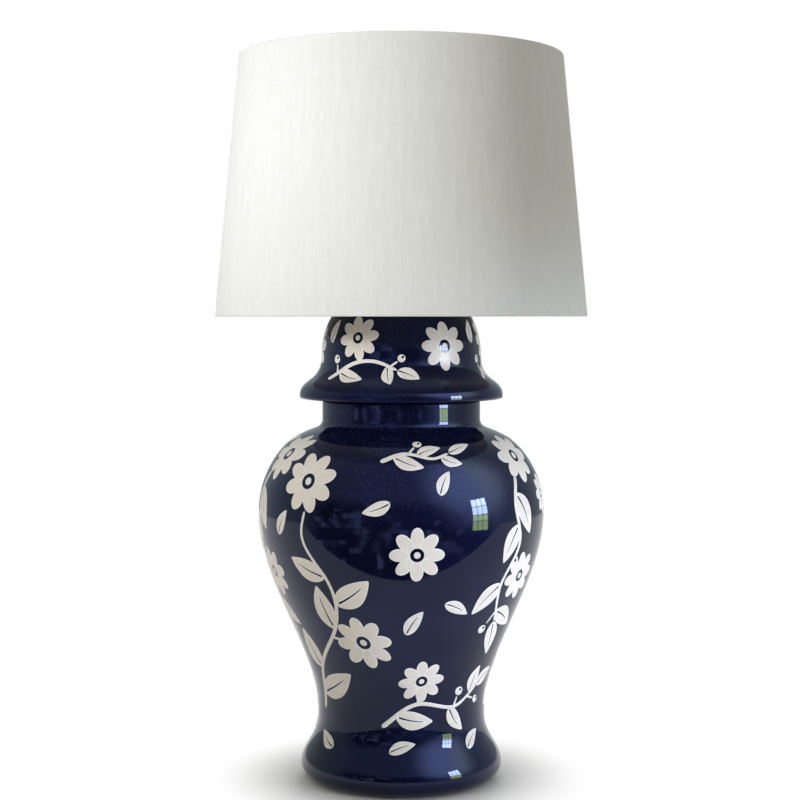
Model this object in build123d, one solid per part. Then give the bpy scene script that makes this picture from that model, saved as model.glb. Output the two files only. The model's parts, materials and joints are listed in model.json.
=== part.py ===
from build123d import *

import math
import os

# A ginger jar table lamp, in millimetres. Z is up, the front faces -Y, and z = 0 is the table.
# The stack follows the lamp pipe: jar, lid, vase cap, spacer, harp saddle, socket, bulb. The harp
# stands on the saddle and carries the shade, which the finial holds down.

inch = 25.4

# Fits
touch_gap = 0.05      # radial gap of pieces that are screwed or pushed together
run_gap = 0.06        # radial gap of pieces that turn or slide on each other
loose_gap = 0.30      # gap of pieces that come apart by hand

# Felt ring under the foot
felt_thickness = 1.5
felt_margin = 0.8     # bare rim on either side of the felt

# Jar body, a glazed earthenware casting. Radii are of the outside, heights are above its foot.
foot_radius = 104.0
foot_corner_radius = 16.0
foot_land_width = 9.0
waist_radius = 86.2
waist_height = 69.5
belly_radius = 146.9
belly_height = 275.5
shoulder_height = 361.7    # where the shoulder turns up into the neck
shoulder_slope = 20.0      # slope there, in degrees
neck_radius = 81.2
neck_height = 29.8         # from that turn to the top of the lip
neck_fillet_run = 6.0
neck_lip_radius = 4.0
neck_inner_lip_radius = 1.2
jar_wall = 7.0
floor_height = 32.5        # of the floor's underside
floor_thickness = 8.0
floor_fillet = 14.0

# Shape of the jar's side between its named radii, as (share of the radius step, share of the rise)
foot_to_waist = [(0.52, 0.41), (0.96, 0.78)]
waist_to_belly = [(0.012, 0.075), (0.146, 0.228), (0.484, 0.474), (0.819, 0.718)]
belly_to_shoulder = [(0.050, 0.285), (0.218, 0.572), (0.571, 0.856)]

# Cord outlet at the back of the foot
outlet_hole_radius = 6.35
outlet_bore_radius = 3.75
outlet_flange_radius = 9.0
outlet_flange_thickness = 2.2
outlet_flange_seat = 4.0   # how far the flange reaches back to the curved wall
outlet_inner_reach = 6.0   # of the bushing behind the foot's wall

# Lid, a glazed earthenware casting
lid_rim_radius = 104.5
lid_rim_corner = 2.5
lid_rim_widest = 4.5       # height of the widest line above the rim's underside
lid_flare_height = 45.0    # from the rim's underside to where the dome leaves the flare
lid_height = 119.0         # from the rim's underside to the top
lid_dome_radius = 81.6
lid_land_radius = 16.0     # flat land on top of the dome
lid_wall = 6.0
lid_skirt_depth = 12.0
lid_skirt_gap = 0.8
lid_groove_margin = 4.8    # ceramic left outside and inside the groove under the rim
lid_groove_height = 14.0
rim_to_dome = [(0.247, 0.269), (0.59, 0.422), (0.86, 0.62)]

# Lamp pipe and the hardware on it
pipe_radius = 4.85
pipe_bore_radius = 3.4
pipe_below_nut = 4.0
pipe_in_socket = 7.0
pipe_hole_radius = 6.2     # holes in the jar floor and the lid
nut_across_flats = 14.3
bottom_nut_height = 5.0
lock_washer_radius = 9.0
lock_washer_thickness = 0.9
lock_washer_teeth = 12
lock_washer_notch = 1.6
steel_washer_radius = 17.5
steel_washer_thickness = 1.6
rubber_washer_radius = 19.0
rubber_washer_thickness = 2.0
gasket_radius = 10.0
gasket_thickness = 1.5
vase_cap_radius = 25.0
vase_cap_thickness = 1.0
vase_cap_land = 10.5
vase_cap_gap = 0.5         # between the cap's edge and the dome
spacer_radius = 8.0
spacer_waist_radius = 6.8
spacer_height = 10.5

# Harp saddle
strip_width = 9.5
strip_thickness = 1.5
strip_bend_radius = 4.0
saddle_flat_half = 20.0
saddle_pad_radius = 9.5    # round pad around the pipe's hole
saddle_bend_rise = 7.0
saddle_ear_rise = 17.0     # to the underside of the ears that the ferrules stand on
ear_thickness = 2.0
cup_height = 10.0
cup_wall = 0.9
saddle_nut_height = 4.0

# Harp
harp_height = 8.0 * inch   # from the saddle's underside to the shade's seat
harp_leg_x = 30.0
harp_half_width = 57.0
harp_wire_radius = 1.6
harp_straight_leg = 38.0
harp_flare_height = 34.0
harp_leg_bend = 28.0
harp_shoulder_bend = 48.0
seat_radius = 8.0
seat_thickness = 2.5
stud_barrel_radius = 4.5
stud_barrel_half_height = 3.2
stud_radius = 3.1
stud_height = 9.2
ferrule_radius = 4.0
ferrule_length = 14.0

# Socket
collar_radius = 7.6
collar_height = 8.0
socket_cap_radius = 17.2
socket_cap_flare = 7.0
socket_cap_skirt = 7.0
socket_cap_wall = 0.8
shell_wall = 0.6
shell_above_flare = 1.0    # how far above the cap's flare the shell starts
shell_height = 44.0
shell_bead = 0.6
shell_bead_shares = (0.44, 0.60)
liner_wall = 0.7
liner_recess = 1.0
interior_gap = 0.1
interior_height = 20.5
terminal_flat_x = 11.0
terminal_flat_height = 13.0
terminal_rise = 6.5
terminal_head_radius = 3.6
terminal_head_thickness = 2.2
terminal_shank_radius = 1.7
terminal_shank_length = 6.0
terminal_slot = 0.8
set_screw_rise = 4.0
set_screw_radius = 1.5
set_screw_length = 4.6

# Lamp-base thread, shared by the socket's screw shell and the bulb's cap. Its turns are rings.
thread_radius = 12.68      # of the bulb's cap, halfway between crest and root
thread_depth = 0.72
thread_pitch = 3.629
thread_turns = 5
screw_shell_wall = 0.4
screw_shell_lead = 1.6
screw_shell_turns = 3
screw_shell_flange = 3.6   # turned in under the sleeve
screw_gap = 0.25           # radial gap between the bulb's thread and the sleeve's
contact_thickness = 0.5
contact_width = 6.0
contact_half_length = 8.0
contact_rise = 1.0

# Turn switch
switch_rise = 10.0         # its axis above the foot of the socket's interior
switch_shaft_radius = 2.0
switch_hole_radius = 3.2
rotor_radius = 5.6
rotor_length = 7.0
rotor_recess = 2.9         # of the rotor behind the moulded block's front
knob_gap = 1.4             # between the shell and the knob
knob_length = 17.0
knob_radius = 6.2
knob_wing = 4.2            # thickness of the knob's flattened grip
knob_collar = 4.0
knob_end_wall = 2.0

# Bulb, measured up from its tip
bulb_radius = 30.2
bulb_height = 110.0
bulb_glass_wall = 0.9
bulb_neck_radius = 13.6
bulb_tip_radius = 4.6
bulb_tip_height = 2.0
bulb_insulator_height = 5.0
bulb_insulator_plug = 1.4
bulb_collar_height = 3.2
bulb_cap_wall = 0.5
bulb_shoulder_angle = 35.0 # below the crown's equator, where the neck's swell ends

# Shade, a hardback empire: linen laminated to a styrene liner, rolled over two wire rings
shade_bottom_radius = 7.5 * inch
shade_top_radius = 6.5 * inch
shade_height = 264.0
washer_drop = 12.8         # depth of the fitter's washer below the shade's top
linen_thickness = 0.7
liner_thickness = 0.6
shade_ring_radius = 1.4
hem_depth = 9.0            # linen turned in below each ring
hem_thickness = 0.5
arm_radius = 1.5
arm_count = 3
arm_first_angle = 90.0
arm_ledge = 14.0
arm_slope_run = 12.0
arm_inner_radius = 8.0
arm_bend_radius = 4.0
hub_radius = 13.0
hub_hole_radius = 4.2
hub_thickness = 1.5

# Finial
finial_flange_radius = 6.5
finial_flange_height = 2.4
finial_neck_radius = 4.8
finial_base_height = 10.5
finial_spigot_radius = 2.0
finial_spigot_height = 6.0
finial_ball_radius = 8.0
finial_ball_foot = 3.4

# Heights that follow from the sizes above
foot_z = felt_thickness
foot_widest_z = foot_z + foot_corner_radius
foot_land_outer = foot_radius - foot_corner_radius
foot_land_inner = foot_land_outer - foot_land_width
floor_underside_z = foot_z + floor_height
floor_top_z = floor_underside_z + floor_thickness
waist_z = foot_z + waist_height
belly_z = foot_z + belly_height
shoulder_z = foot_z + shoulder_height
neck_top_z = shoulder_z + neck_height
neck_bore_radius = neck_radius - jar_wall
lid_dome_foot_z = neck_top_z + lid_flare_height
lid_top_z = neck_top_z + lid_height
lid_skirt_radius = neck_bore_radius - lid_skirt_gap
pipe_fit_radius = pipe_radius + touch_gap
outlet_z = foot_widest_z

steel_washer_top_z = floor_underside_z - rubber_washer_thickness
lock_washer_top_z = steel_washer_top_z - steel_washer_thickness
bottom_nut_top_z = lock_washer_top_z - lock_washer_thickness
pipe_bottom_z = bottom_nut_top_z - bottom_nut_height - pipe_below_nut

vase_cap_z = lid_top_z + gasket_thickness
spacer_z = vase_cap_z + vase_cap_thickness
saddle_z = spacer_z + spacer_height
saddle_nut_z = saddle_z + strip_thickness
ear_top_z = saddle_z + saddle_ear_rise + ear_thickness
cup_top_z = ear_top_z + cup_height
harp_seat_z = saddle_z + harp_height
harp_wire_z = harp_seat_z - seat_thickness - stud_barrel_half_height
stud_top_z = harp_seat_z + stud_height

socket_z = saddle_nut_z + saddle_nut_height
pipe_top_z = socket_z + pipe_in_socket
set_screw_z = socket_z + set_screw_rise
socket_flare_z = socket_z + collar_height
socket_skirt_z = socket_flare_z + socket_cap_flare
shell_z = socket_skirt_z + shell_above_flare
shell_radius = socket_cap_radius - socket_cap_wall - touch_gap
shell_top_z = shell_z + shell_height
liner_radius = shell_radius - shell_wall - touch_gap
liner_top_z = shell_top_z - liner_recess
interior_radius = liner_radius - liner_wall - interior_gap
interior_top_z = shell_z + interior_height
terminal_z = shell_z + terminal_rise
terminal_tip_x = terminal_flat_x - terminal_shank_length
switch_z = shell_z + switch_rise
rotor_front_reach = interior_radius - rotor_recess
rotor_back_reach = rotor_front_reach - rotor_length
knob_reach = shell_radius + knob_gap
bulb_z = interior_top_z + contact_thickness + contact_rise + touch_gap
bulb_insulator_z = bulb_z + bulb_tip_height
bulb_thread_z = bulb_insulator_z + bulb_insulator_height
bulb_thread_top_z = bulb_thread_z + thread_turns * thread_pitch
bulb_glass_z = bulb_thread_top_z + bulb_collar_height

shade_top_z = harp_seat_z + washer_drop
shade_bottom_z = shade_top_z - shade_height
hub_top_z = harp_seat_z + hub_thickness
finial_z = hub_top_z
backing_inset = linen_thickness + liner_thickness + 2 * touch_gap   # the liner's inner face
ring_inner_inset = backing_inset + 2 * shade_ring_radius + touch_gap
ring_span = linen_thickness + 2 * shade_ring_radius + 2 * touch_gap  # depth from edge to past ring


def between(low, high, share):
    return low + (high - low) * share


def shares_between(start, end, shares):
    """Points from start to end, each at a share of the radius step and of the rise."""
    return [(between(start[0], end[0], r), between(start[1], end[1], z)) for r, z in shares]


def turned(*edges):
    """Solid of revolution about Z. The edges are a closed outline of radius and height."""
    return revolve(Plane.XZ * make_face(list(edges)), Axis.Z)


def turned_polygon(*points):
    return turned(Polyline(*points, close=True))


def tube(inner_radius, outer_radius, low_z, high_z):
    return turned_polygon(
        (inner_radius, low_z), (outer_radius, low_z), (outer_radius, high_z), (inner_radius, high_z)
    )


def rod(radius, low_z, high_z):
    return turned_polygon((0, low_z), (radius, low_z), (radius, high_z), (0, high_z))


def to_front(solid):
    """Lays an upright solid down, so that its top points to -Y."""
    return Rot(90, 0, 0) * solid


def to_back(solid):
    return Rot(-90, 0, 0) * solid


def to_side(solid, side):
    """Lays an upright solid down, so that its top points to +X for side 1 or -X for side -1."""
    return Rot(0, side * 90, 0) * solid


def hex_nut(low_z, height, bore_radius):
    blank = extrude(RegularPolygon(nut_across_flats / 2, 6, major_radius=False), height)
    corner_radius = nut_across_flats / 2 / math.cos(math.radians(30))
    chamfer_height = height * 0.16
    chamfer_run = (corner_radius - nut_across_flats / 2) * 1.25
    rounded = turned_polygon(
        (0, 0),
        (corner_radius - chamfer_run, 0),
        (corner_radius, chamfer_height),
        (corner_radius, height - chamfer_height),
        (corner_radius - chamfer_run, height),
        (0, height),
    )
    return Pos(0, 0, low_z) * ((blank & rounded) - rod(bore_radius, -1, height + 1))


def first_share(holds):
    """The lowest share from 0 to 1 at which a condition starts to hold, if it then keeps holding."""
    low, high = 0.0, 1.0
    for _ in range(40):
        middle = (low + high) / 2
        if holds(middle):
            high = middle
        else:
            low = middle
    return high


def inset(edge, depth, share):
    """The point a wall's thickness inside a rising outline."""
    place, direction = edge @ share, edge % share
    return place.X - direction.Y * depth, place.Y + direction.X * depth


def inner_wall(edge, depth, low_z, high_z, count):
    """Points on the inside of a wall from one height to another, the outline's end at most."""
    low = first_share(lambda share: inset(edge, depth, share)[1] >= low_z)
    high = first_share(lambda share: inset(edge, depth, share)[1] >= high_z)
    return [inset(edge, depth, between(low, high, i / (count - 1))) for i in range(count)]


# ---------------------------------------------------------------- jar and lid

def jar_side():
    """The jar's outline from its widest line at the foot to the turn into the neck."""
    foot = (foot_radius, foot_widest_z)
    waist = (waist_radius, waist_z)
    belly = (belly_radius, belly_z)
    shoulder = (neck_radius + neck_fillet_run, shoulder_z)
    slope = math.radians(shoulder_slope)
    return Spline(
        foot,
        *shares_between(foot, waist, foot_to_waist),
        *shares_between(waist, belly, waist_to_belly),
        belly,
        *shares_between(belly, shoulder, belly_to_shoulder),
        shoulder,
        tangents=((0, 1), (-math.cos(slope), math.sin(slope))),
    )


def neck_fillet():
    """Arc from the shoulder up into the neck, as its radius and the height where it ends."""
    slope = math.radians(shoulder_slope)
    radius = neck_fillet_run / (1 - math.sin(slope))
    return radius, shoulder_z + radius * math.cos(slope)


def jar_blank():
    side = jar_side()
    radius, neck_z = neck_fillet()
    lip_z = neck_top_z - neck_lip_radius
    land_radius = neck_radius - neck_lip_radius
    return turned(
        Line((0, foot_z), (foot_land_outer, foot_z)),
        RadiusArc((foot_land_outer, foot_z), (foot_radius, foot_widest_z), -foot_corner_radius),
        side,
        RadiusArc(side @ 1, (neck_radius, neck_z), radius),
        Line((neck_radius, neck_z), (neck_radius, lip_z)),
        RadiusArc((neck_radius, lip_z), (land_radius, neck_top_z), -neck_lip_radius),
        Line((land_radius, neck_top_z), (0, neck_top_z)),
        Line((0, neck_top_z), (0, foot_z)),
    )


def jar_cavity():
    """The space inside the jar, from its floor up through the neck."""
    wall = inner_wall(jar_side(), jar_wall, floor_top_z + floor_fillet, shoulder_z - jar_wall, 12)
    flare_z = neck_top_z - neck_inner_lip_radius
    flare_radius = neck_bore_radius + neck_inner_lip_radius
    floor_edge = (wall[0][0] - floor_fillet, floor_top_z)
    return turned(
        Line((0, floor_top_z), floor_edge),
        Line(floor_edge, wall[0]),
        Spline(*wall),
        Line(wall[-1], (neck_bore_radius, shoulder_z)),
        Line((neck_bore_radius, shoulder_z), (neck_bore_radius, flare_z)),
        Line((neck_bore_radius, flare_z), (flare_radius, neck_top_z)),
        Line((flare_radius, neck_top_z), (0, neck_top_z)),
        Line((0, neck_top_z), (0, floor_top_z)),
    )


def foot_recess():
    """The hollow under the jar's floor, where the cord runs from the outlet to the pipe."""
    wall = inner_wall(jar_side(), jar_wall, foot_widest_z, floor_underside_z, 5)
    corner = foot_corner_radius - jar_wall
    corner_start = (wall[0][0] - corner, wall[0][1] - corner)
    return turned(
        Line((0, foot_z), (foot_land_inner, foot_z)),
        Line((foot_land_inner, foot_z), corner_start),
        RadiusArc(corner_start, wall[0], -corner),
        Spline(*wall),
        Line(wall[-1], (0, wall[-1][1])),
        Line((0, wall[-1][1]), (0, foot_z)),
    )


def outlet_hole():
    return Pos(0, 0, outlet_z) * to_back(rod(outlet_hole_radius, foot_land_inner / 2, foot_radius + 1))


def jar_body():
    pipe_hole = rod(pipe_hole_radius, 0, floor_top_z + 1)
    return jar_blank() - jar_cavity() - foot_recess() - pipe_hole - outlet_hole()


def lid_flare():
    """The lid's outline from the rim's widest line up to the foot of the dome."""
    rim = (lid_rim_radius, neck_top_z + lid_rim_widest)
    dome = (lid_dome_radius, lid_dome_foot_z)
    return Spline(rim, *shares_between(rim, dome, rim_to_dome), dome, tangents=((0, 1), (0, 1)))


def lid_dome(inward):
    """Quarter ellipse of the dome, a depth inside its outside, up to the flat land on top."""
    run = lid_dome_radius - lid_land_radius - inward
    rise = lid_top_z - lid_dome_foot_z - inward
    return EllipticalCenterArc((lid_land_radius, lid_dome_foot_z), run, rise, 0, arc_size=90)


def lid_blank():
    flare = lid_flare()
    corner_z = neck_top_z + lid_rim_corner
    corner_start = (lid_rim_radius - lid_rim_corner, neck_top_z)
    skirt_z = neck_top_z - lid_skirt_depth
    return turned(
        Line((0, skirt_z), (lid_skirt_radius, skirt_z)),
        Line((lid_skirt_radius, skirt_z), (lid_skirt_radius, neck_top_z)),
        Line((lid_skirt_radius, neck_top_z), corner_start),
        RadiusArc(corner_start, (lid_rim_radius, corner_z), -lid_rim_corner),
        Line((lid_rim_radius, corner_z), flare @ 0),
        flare,
        lid_dome(0),
        Line((lid_land_radius, lid_top_z), (0, lid_top_z)),
        Line((0, lid_top_z), (0, skirt_z)),
    )


def lid_hollow():
    skirt_z = neck_top_z - lid_skirt_depth
    skirt_bore = lid_skirt_radius - lid_wall
    dome_bore = lid_dome_radius - lid_wall
    roof_z = lid_top_z - lid_wall
    return turned(
        Line((0, skirt_z), (skirt_bore, skirt_z)),
        Line((skirt_bore, skirt_z), (skirt_bore, neck_top_z)),
        Line((skirt_bore, neck_top_z), (dome_bore, lid_dome_foot_z)),
        lid_dome(lid_wall),
        Line((lid_land_radius, roof_z), (0, roof_z)),
        Line((0, roof_z), (0, skirt_z)),
    )


def lid_groove():
    """Ring-shaped hollow in the thick flare, outside the neck, as the casting leaves it."""
    inner = neck_radius + lid_groove_margin / 4
    outer = lid_rim_radius - lid_groove_margin
    roof_z = neck_top_z + lid_groove_height
    return turned_polygon(
        (inner, neck_top_z - 1),
        (outer, neck_top_z - 1),
        (outer, between(neck_top_z, roof_z, 0.3)),
        (between(inner, outer, 0.4), roof_z),
        (inner, roof_z),
    )


def jar_lid():
    pipe_hole = rod(pipe_hole_radius, lid_top_z - 2 * lid_wall, lid_top_z + 1)
    return lid_blank() - lid_hollow() - lid_groove() - pipe_hole


def foot_felt():
    return tube(foot_land_inner + felt_margin, foot_land_outer - felt_margin, 0, felt_thickness)


def cord_bushing():
    """Rubber bushing in the outlet hole, its flange cut to the foot's curved side."""
    inner_y = foot_radius - jar_wall - outlet_inner_reach
    flange_y = foot_radius - outlet_flange_seat
    outer_y = foot_radius + outlet_flange_thickness
    body_radius = outlet_hole_radius - touch_gap
    edge = outlet_flange_thickness / 2
    plug = turned_polygon(
        (outlet_bore_radius, inner_y),
        (body_radius - edge, inner_y),
        (body_radius, inner_y + edge),
        (body_radius, flange_y),
        (outlet_flange_radius, flange_y),
        (outlet_flange_radius, outer_y - edge),
        (outlet_flange_radius - edge, outer_y),
        (outlet_bore_radius, outer_y),
    )
    foot_wall = jar_blank() - foot_recess() - outlet_hole()
    return Pos(0, 0, outlet_z) * to_back(plug) - foot_wall


# ---------------------------------------------------------------- pipe and its hardware

def lamp_pipe():
    return tube(pipe_bore_radius, pipe_radius, pipe_bottom_z, pipe_top_z)


def bottom_rubber_washer():
    return tube(pipe_fit_radius, rubber_washer_radius, steel_washer_top_z, floor_underside_z)


def bottom_washer():
    return tube(pipe_fit_radius, steel_washer_radius, lock_washer_top_z, steel_washer_top_z)


def bottom_lock_washer():
    ring = tube(pipe_fit_radius, lock_washer_radius, bottom_nut_top_z, lock_washer_top_z)
    notch_places = PolarLocations(lock_washer_radius, lock_washer_teeth)
    for place in notch_places:
        notch = Box(2 * lock_washer_notch, lock_washer_notch, 4 * lock_washer_thickness)
        ring -= Pos(0, 0, lock_washer_top_z) * place * notch
    return ring


def bottom_nut():
    return hex_nut(bottom_nut_top_z - bottom_nut_height, bottom_nut_height, pipe_fit_radius)


def lid_rubber_washer():
    return tube(pipe_fit_radius, gasket_radius, lid_top_z, vase_cap_z)


def vase_cap():
    """Spun brass cap on the lid, which droops to just above the dome at its edge."""
    dome_share = (vase_cap_radius - lid_land_radius) / (lid_dome_radius - lid_land_radius)
    dome_rise = (lid_top_z - lid_dome_foot_z) * math.sqrt(1 - dome_share ** 2)
    edge_z = lid_dome_foot_z + dome_rise + vase_cap_gap
    droop = (vase_cap_z - edge_z) * 0.3
    under = Spline(
        (vase_cap_land, vase_cap_z),
        (between(vase_cap_land, vase_cap_radius, 0.55), vase_cap_z - droop),
        (vase_cap_radius, edge_z),
        tangents=((1, 0), (1, -0.4)),
    )
    over = Pos(0, vase_cap_thickness) * under
    return turned(
        Line((pipe_fit_radius, vase_cap_z), (vase_cap_land, vase_cap_z)),
        under,
        Line(under @ 1, over @ 1),
        over,
        Line(over @ 0, (pipe_fit_radius, spacer_z)),
        Line((pipe_fit_radius, spacer_z), (pipe_fit_radius, vase_cap_z)),
    )


def neck_spacer():
    """Turned brass spacer between the vase cap and the harp saddle."""
    band = spacer_height * 0.16
    low_z, high_z = spacer_z + band, saddle_z - band
    return turned(
        Line((pipe_fit_radius, spacer_z), (spacer_radius, spacer_z)),
        Line((spacer_radius, spacer_z), (spacer_radius, low_z)),
        ThreePointArc(
            (spacer_radius, low_z), (spacer_waist_radius, (low_z + high_z) / 2), (spacer_radius, high_z)
        ),
        Line((spacer_radius, high_z), (spacer_radius, saddle_z)),
        Line((spacer_radius, saddle_z), (pipe_fit_radius, saddle_z)),
        Line((pipe_fit_radius, saddle_z), (pipe_fit_radius, spacer_z)),
    )


# ---------------------------------------------------------------- harp saddle, harp and ferrules

def saddle_cup(side):
    """Half tube on the saddle's ear, open towards the socket, that holds one leg of the harp."""
    bore = harp_wire_radius + run_gap
    cup = tube(bore, bore + cup_wall, ear_top_z, cup_top_z)
    open_half = Pos(-side * harp_leg_x / 2, 0, cup_top_z) * Box(harp_leg_x, harp_leg_x, 2 * cup_height)
    return Pos(side * harp_leg_x, 0, 0) * (cup - open_half)


def harp_saddle():
    centre_z = saddle_z + strip_thickness / 2
    bend_z = saddle_z + saddle_bend_rise
    ear_z = saddle_z + saddle_ear_rise
    route = Plane.XZ * FilletPolyline(
        (-harp_leg_x, ear_z),
        (-harp_leg_x, bend_z),
        (-saddle_flat_half, centre_z),
        (saddle_flat_half, centre_z),
        (harp_leg_x, bend_z),
        (harp_leg_x, ear_z),
        radius=strip_bend_radius,
    )
    section = Plane(origin=route @ 0, x_dir=(0, 1, 0), z_dir=route % 0)
    saddle = sweep(section * Rectangle(strip_width, strip_thickness), path=route)
    saddle += rod(saddle_pad_radius, saddle_z, saddle_nut_z)
    for side in (-1, 1):
        saddle += Pos(side * harp_leg_x, 0, 0) * rod(strip_width / 2, ear_z, ear_top_z)
        saddle += saddle_cup(side)
    return saddle - rod(pipe_fit_radius, saddle_z - 1, saddle_nut_z + 1)


def saddle_nut():
    return hex_nut(saddle_nut_z, saddle_nut_height, pipe_fit_radius)


def harp_wire():
    flare_z = ear_top_z + harp_straight_leg
    side_z = flare_z + harp_flare_height
    route = Plane.XZ * FilletPolyline(
        (-harp_leg_x, ear_top_z),
        (-harp_leg_x, flare_z),
        (-harp_half_width, side_z),
        (-harp_half_width, harp_wire_z),
        (harp_half_width, harp_wire_z),
        (harp_half_width, side_z),
        (harp_leg_x, flare_z),
        (harp_leg_x, ear_top_z),
        radius=[
            harp_leg_bend, harp_leg_bend, harp_shoulder_bend,
            harp_shoulder_bend, harp_leg_bend, harp_leg_bend,
        ],
    )
    return sweep(Plane(origin=route @ 0, z_dir=route % 0) * Circle(harp_wire_radius), path=route)


def harp_top():
    """The harp's swivel seat, with the barrel that the wire runs through and the finial's stud."""
    seat_z = harp_seat_z - seat_thickness
    body = turned_polygon(
        (0, harp_wire_z - stud_barrel_half_height),
        (stud_barrel_radius, harp_wire_z - stud_barrel_half_height),
        (stud_barrel_radius, seat_z),
        (seat_radius, seat_z),
        (seat_radius, harp_seat_z),
        (stud_radius, harp_seat_z),
        (stud_radius, stud_top_z - stud_radius * 0.3),
        (stud_radius * 0.7, stud_top_z),
        (0, stud_top_z),
    )
    wire_hole = to_side(rod(harp_wire_radius + touch_gap, -seat_radius, seat_radius), 1)
    return body - Pos(0, 0, harp_wire_z) * wire_hole


def ferrule(side):
    """Sleeve that locks one leg of the harp into its cup."""
    bore = harp_wire_radius + run_gap + cup_wall + run_gap
    top_z = ear_top_z + ferrule_length
    edge = (ferrule_radius - bore) / 2
    sleeve = turned_polygon(
        (bore, ear_top_z),
        (ferrule_radius, ear_top_z),
        (ferrule_radius, top_z - edge),
        (ferrule_radius - edge, top_z),
        (bore, top_z),
    )
    return Pos(side * harp_leg_x, 0, 0) * sleeve


# ---------------------------------------------------------------- socket and switch

def socket_cap():
    """Collar on the pipe and the dished cap that the socket's shell stands in."""
    skirt_top_z = socket_skirt_z + socket_cap_skirt
    inner = socket_cap_radius - socket_cap_wall
    inner_flare_z = socket_flare_z + socket_cap_wall
    body = turned(
        Line((pipe_fit_radius, socket_z), (collar_radius, socket_z)),
        Line((collar_radius, socket_z), (collar_radius, socket_flare_z)),
        Spline(
            (collar_radius, socket_flare_z),
            (socket_cap_radius, socket_skirt_z),
            tangents=((1, 0.12), (0, 1)),
        ),
        Line((socket_cap_radius, socket_skirt_z), (socket_cap_radius, skirt_top_z)),
        Line((socket_cap_radius, skirt_top_z), (inner, skirt_top_z)),
        Line((inner, skirt_top_z), (inner, socket_skirt_z)),
        Spline(
            (inner, socket_skirt_z),
            (collar_radius, inner_flare_z),
            tangents=((0, -1), (-1, -0.12)),
        ),
        Line((collar_radius, inner_flare_z), (pipe_fit_radius, inner_flare_z)),
        Line((pipe_fit_radius, inner_flare_z), (pipe_fit_radius, socket_z)),
    )
    screw_hole = to_back(rod(set_screw_radius + touch_gap, 0, collar_radius + 1))
    return body - Pos(0, 0, set_screw_z) * screw_hole


def socket_set_screw():
    slot_depth = set_screw_length * 0.25
    screw = rod(set_screw_radius, pipe_fit_radius, pipe_fit_radius + set_screw_length)
    slot = Box(3 * set_screw_radius, set_screw_radius * 0.5, 2 * slot_depth)
    screw -= Pos(0, 0, pipe_fit_radius + set_screw_length) * slot
    return Pos(0, 0, set_screw_z) * to_back(screw)


def beaded_side(radius, low_z, high_z):
    """Upright outline with two rounded beads, from low to high."""
    half = 2 * shell_bead
    beads = [between(low_z, high_z, share) for share in shell_bead_shares]
    edges = []
    z = low_z
    for bead_z in beads:
        edges.append(Line((radius, z), (radius, bead_z - half)))
        crest = (radius + shell_bead, bead_z)
        edges.append(ThreePointArc((radius, bead_z - half), crest, (radius, bead_z + half)))
        z = bead_z + half
    edges.append(Line((radius, z), (radius, high_z)))
    return edges


def socket_shell():
    inner = shell_radius - shell_wall
    body = turned(
        *beaded_side(shell_radius, shell_z, shell_top_z),
        Line((shell_radius, shell_top_z), (inner, shell_top_z)),
        *beaded_side(inner, shell_z, shell_top_z),
        Line((inner, shell_z), (shell_radius, shell_z)),
    )
    return body - switch_hole()


def switch_hole():
    return Pos(0, 0, switch_z) * to_front(rod(switch_hole_radius, 0, socket_cap_radius + 1))


def socket_liner():
    return tube(liner_radius - liner_wall, liner_radius, shell_z, liner_top_z) - switch_hole()


def socket_interior():
    """Moulded block with two flats for the terminals and a pocket for the switch's rotor."""
    block = rod(interior_radius, shell_z, interior_top_z)
    flat_depth = interior_radius - terminal_flat_x
    for side in (-1, 1):
        flat = Box(flat_depth, 2 * interior_radius, terminal_flat_height, align=Align.CENTER)
        flat_x = side * (terminal_flat_x + flat_depth / 2)
        block -= Pos(flat_x, 0, shell_z + terminal_flat_height / 2) * flat
        screw_hole = rod(terminal_shank_radius + touch_gap, terminal_tip_x, interior_radius)
        block -= Pos(0, 0, terminal_z) * to_side(screw_hole, side)
    pocket = rod(rotor_radius + run_gap, rotor_back_reach, interior_radius + 1)
    return block - Pos(0, 0, switch_z) * to_front(pocket)


def terminal_screw(side):
    head_x = terminal_flat_x + terminal_head_thickness
    screw = turned_polygon(
        (0, terminal_tip_x),
        (terminal_shank_radius, terminal_tip_x),
        (terminal_shank_radius, terminal_flat_x),
        (terminal_head_radius, terminal_flat_x),
        (terminal_head_radius, head_x - terminal_head_thickness * 0.3),
        (terminal_head_radius * 0.8, head_x),
        (0, head_x),
    )
    slot = Box(3 * terminal_head_radius, terminal_slot, terminal_head_thickness)
    screw -= Pos(0, 0, head_x) * slot
    return Pos(0, 0, terminal_z) * to_side(screw, side)


def ring_thread(middle_radius, low_z, turns):
    """Outline of a rolled thread, as rings: for each turn one crest arc and one root arc."""
    half_depth = thread_depth / 2
    half_pitch = thread_pitch / 2
    edges = []
    for i in range(2 * turns):
        z = low_z + i * half_pitch
        bulge = half_depth if i % 2 == 0 else -half_depth
        edges.append(
            ThreePointArc(
                (middle_radius, z),
                (middle_radius + bulge, z + half_pitch / 2),
                (middle_radius, z + half_pitch),
            )
        )
    return edges


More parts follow.
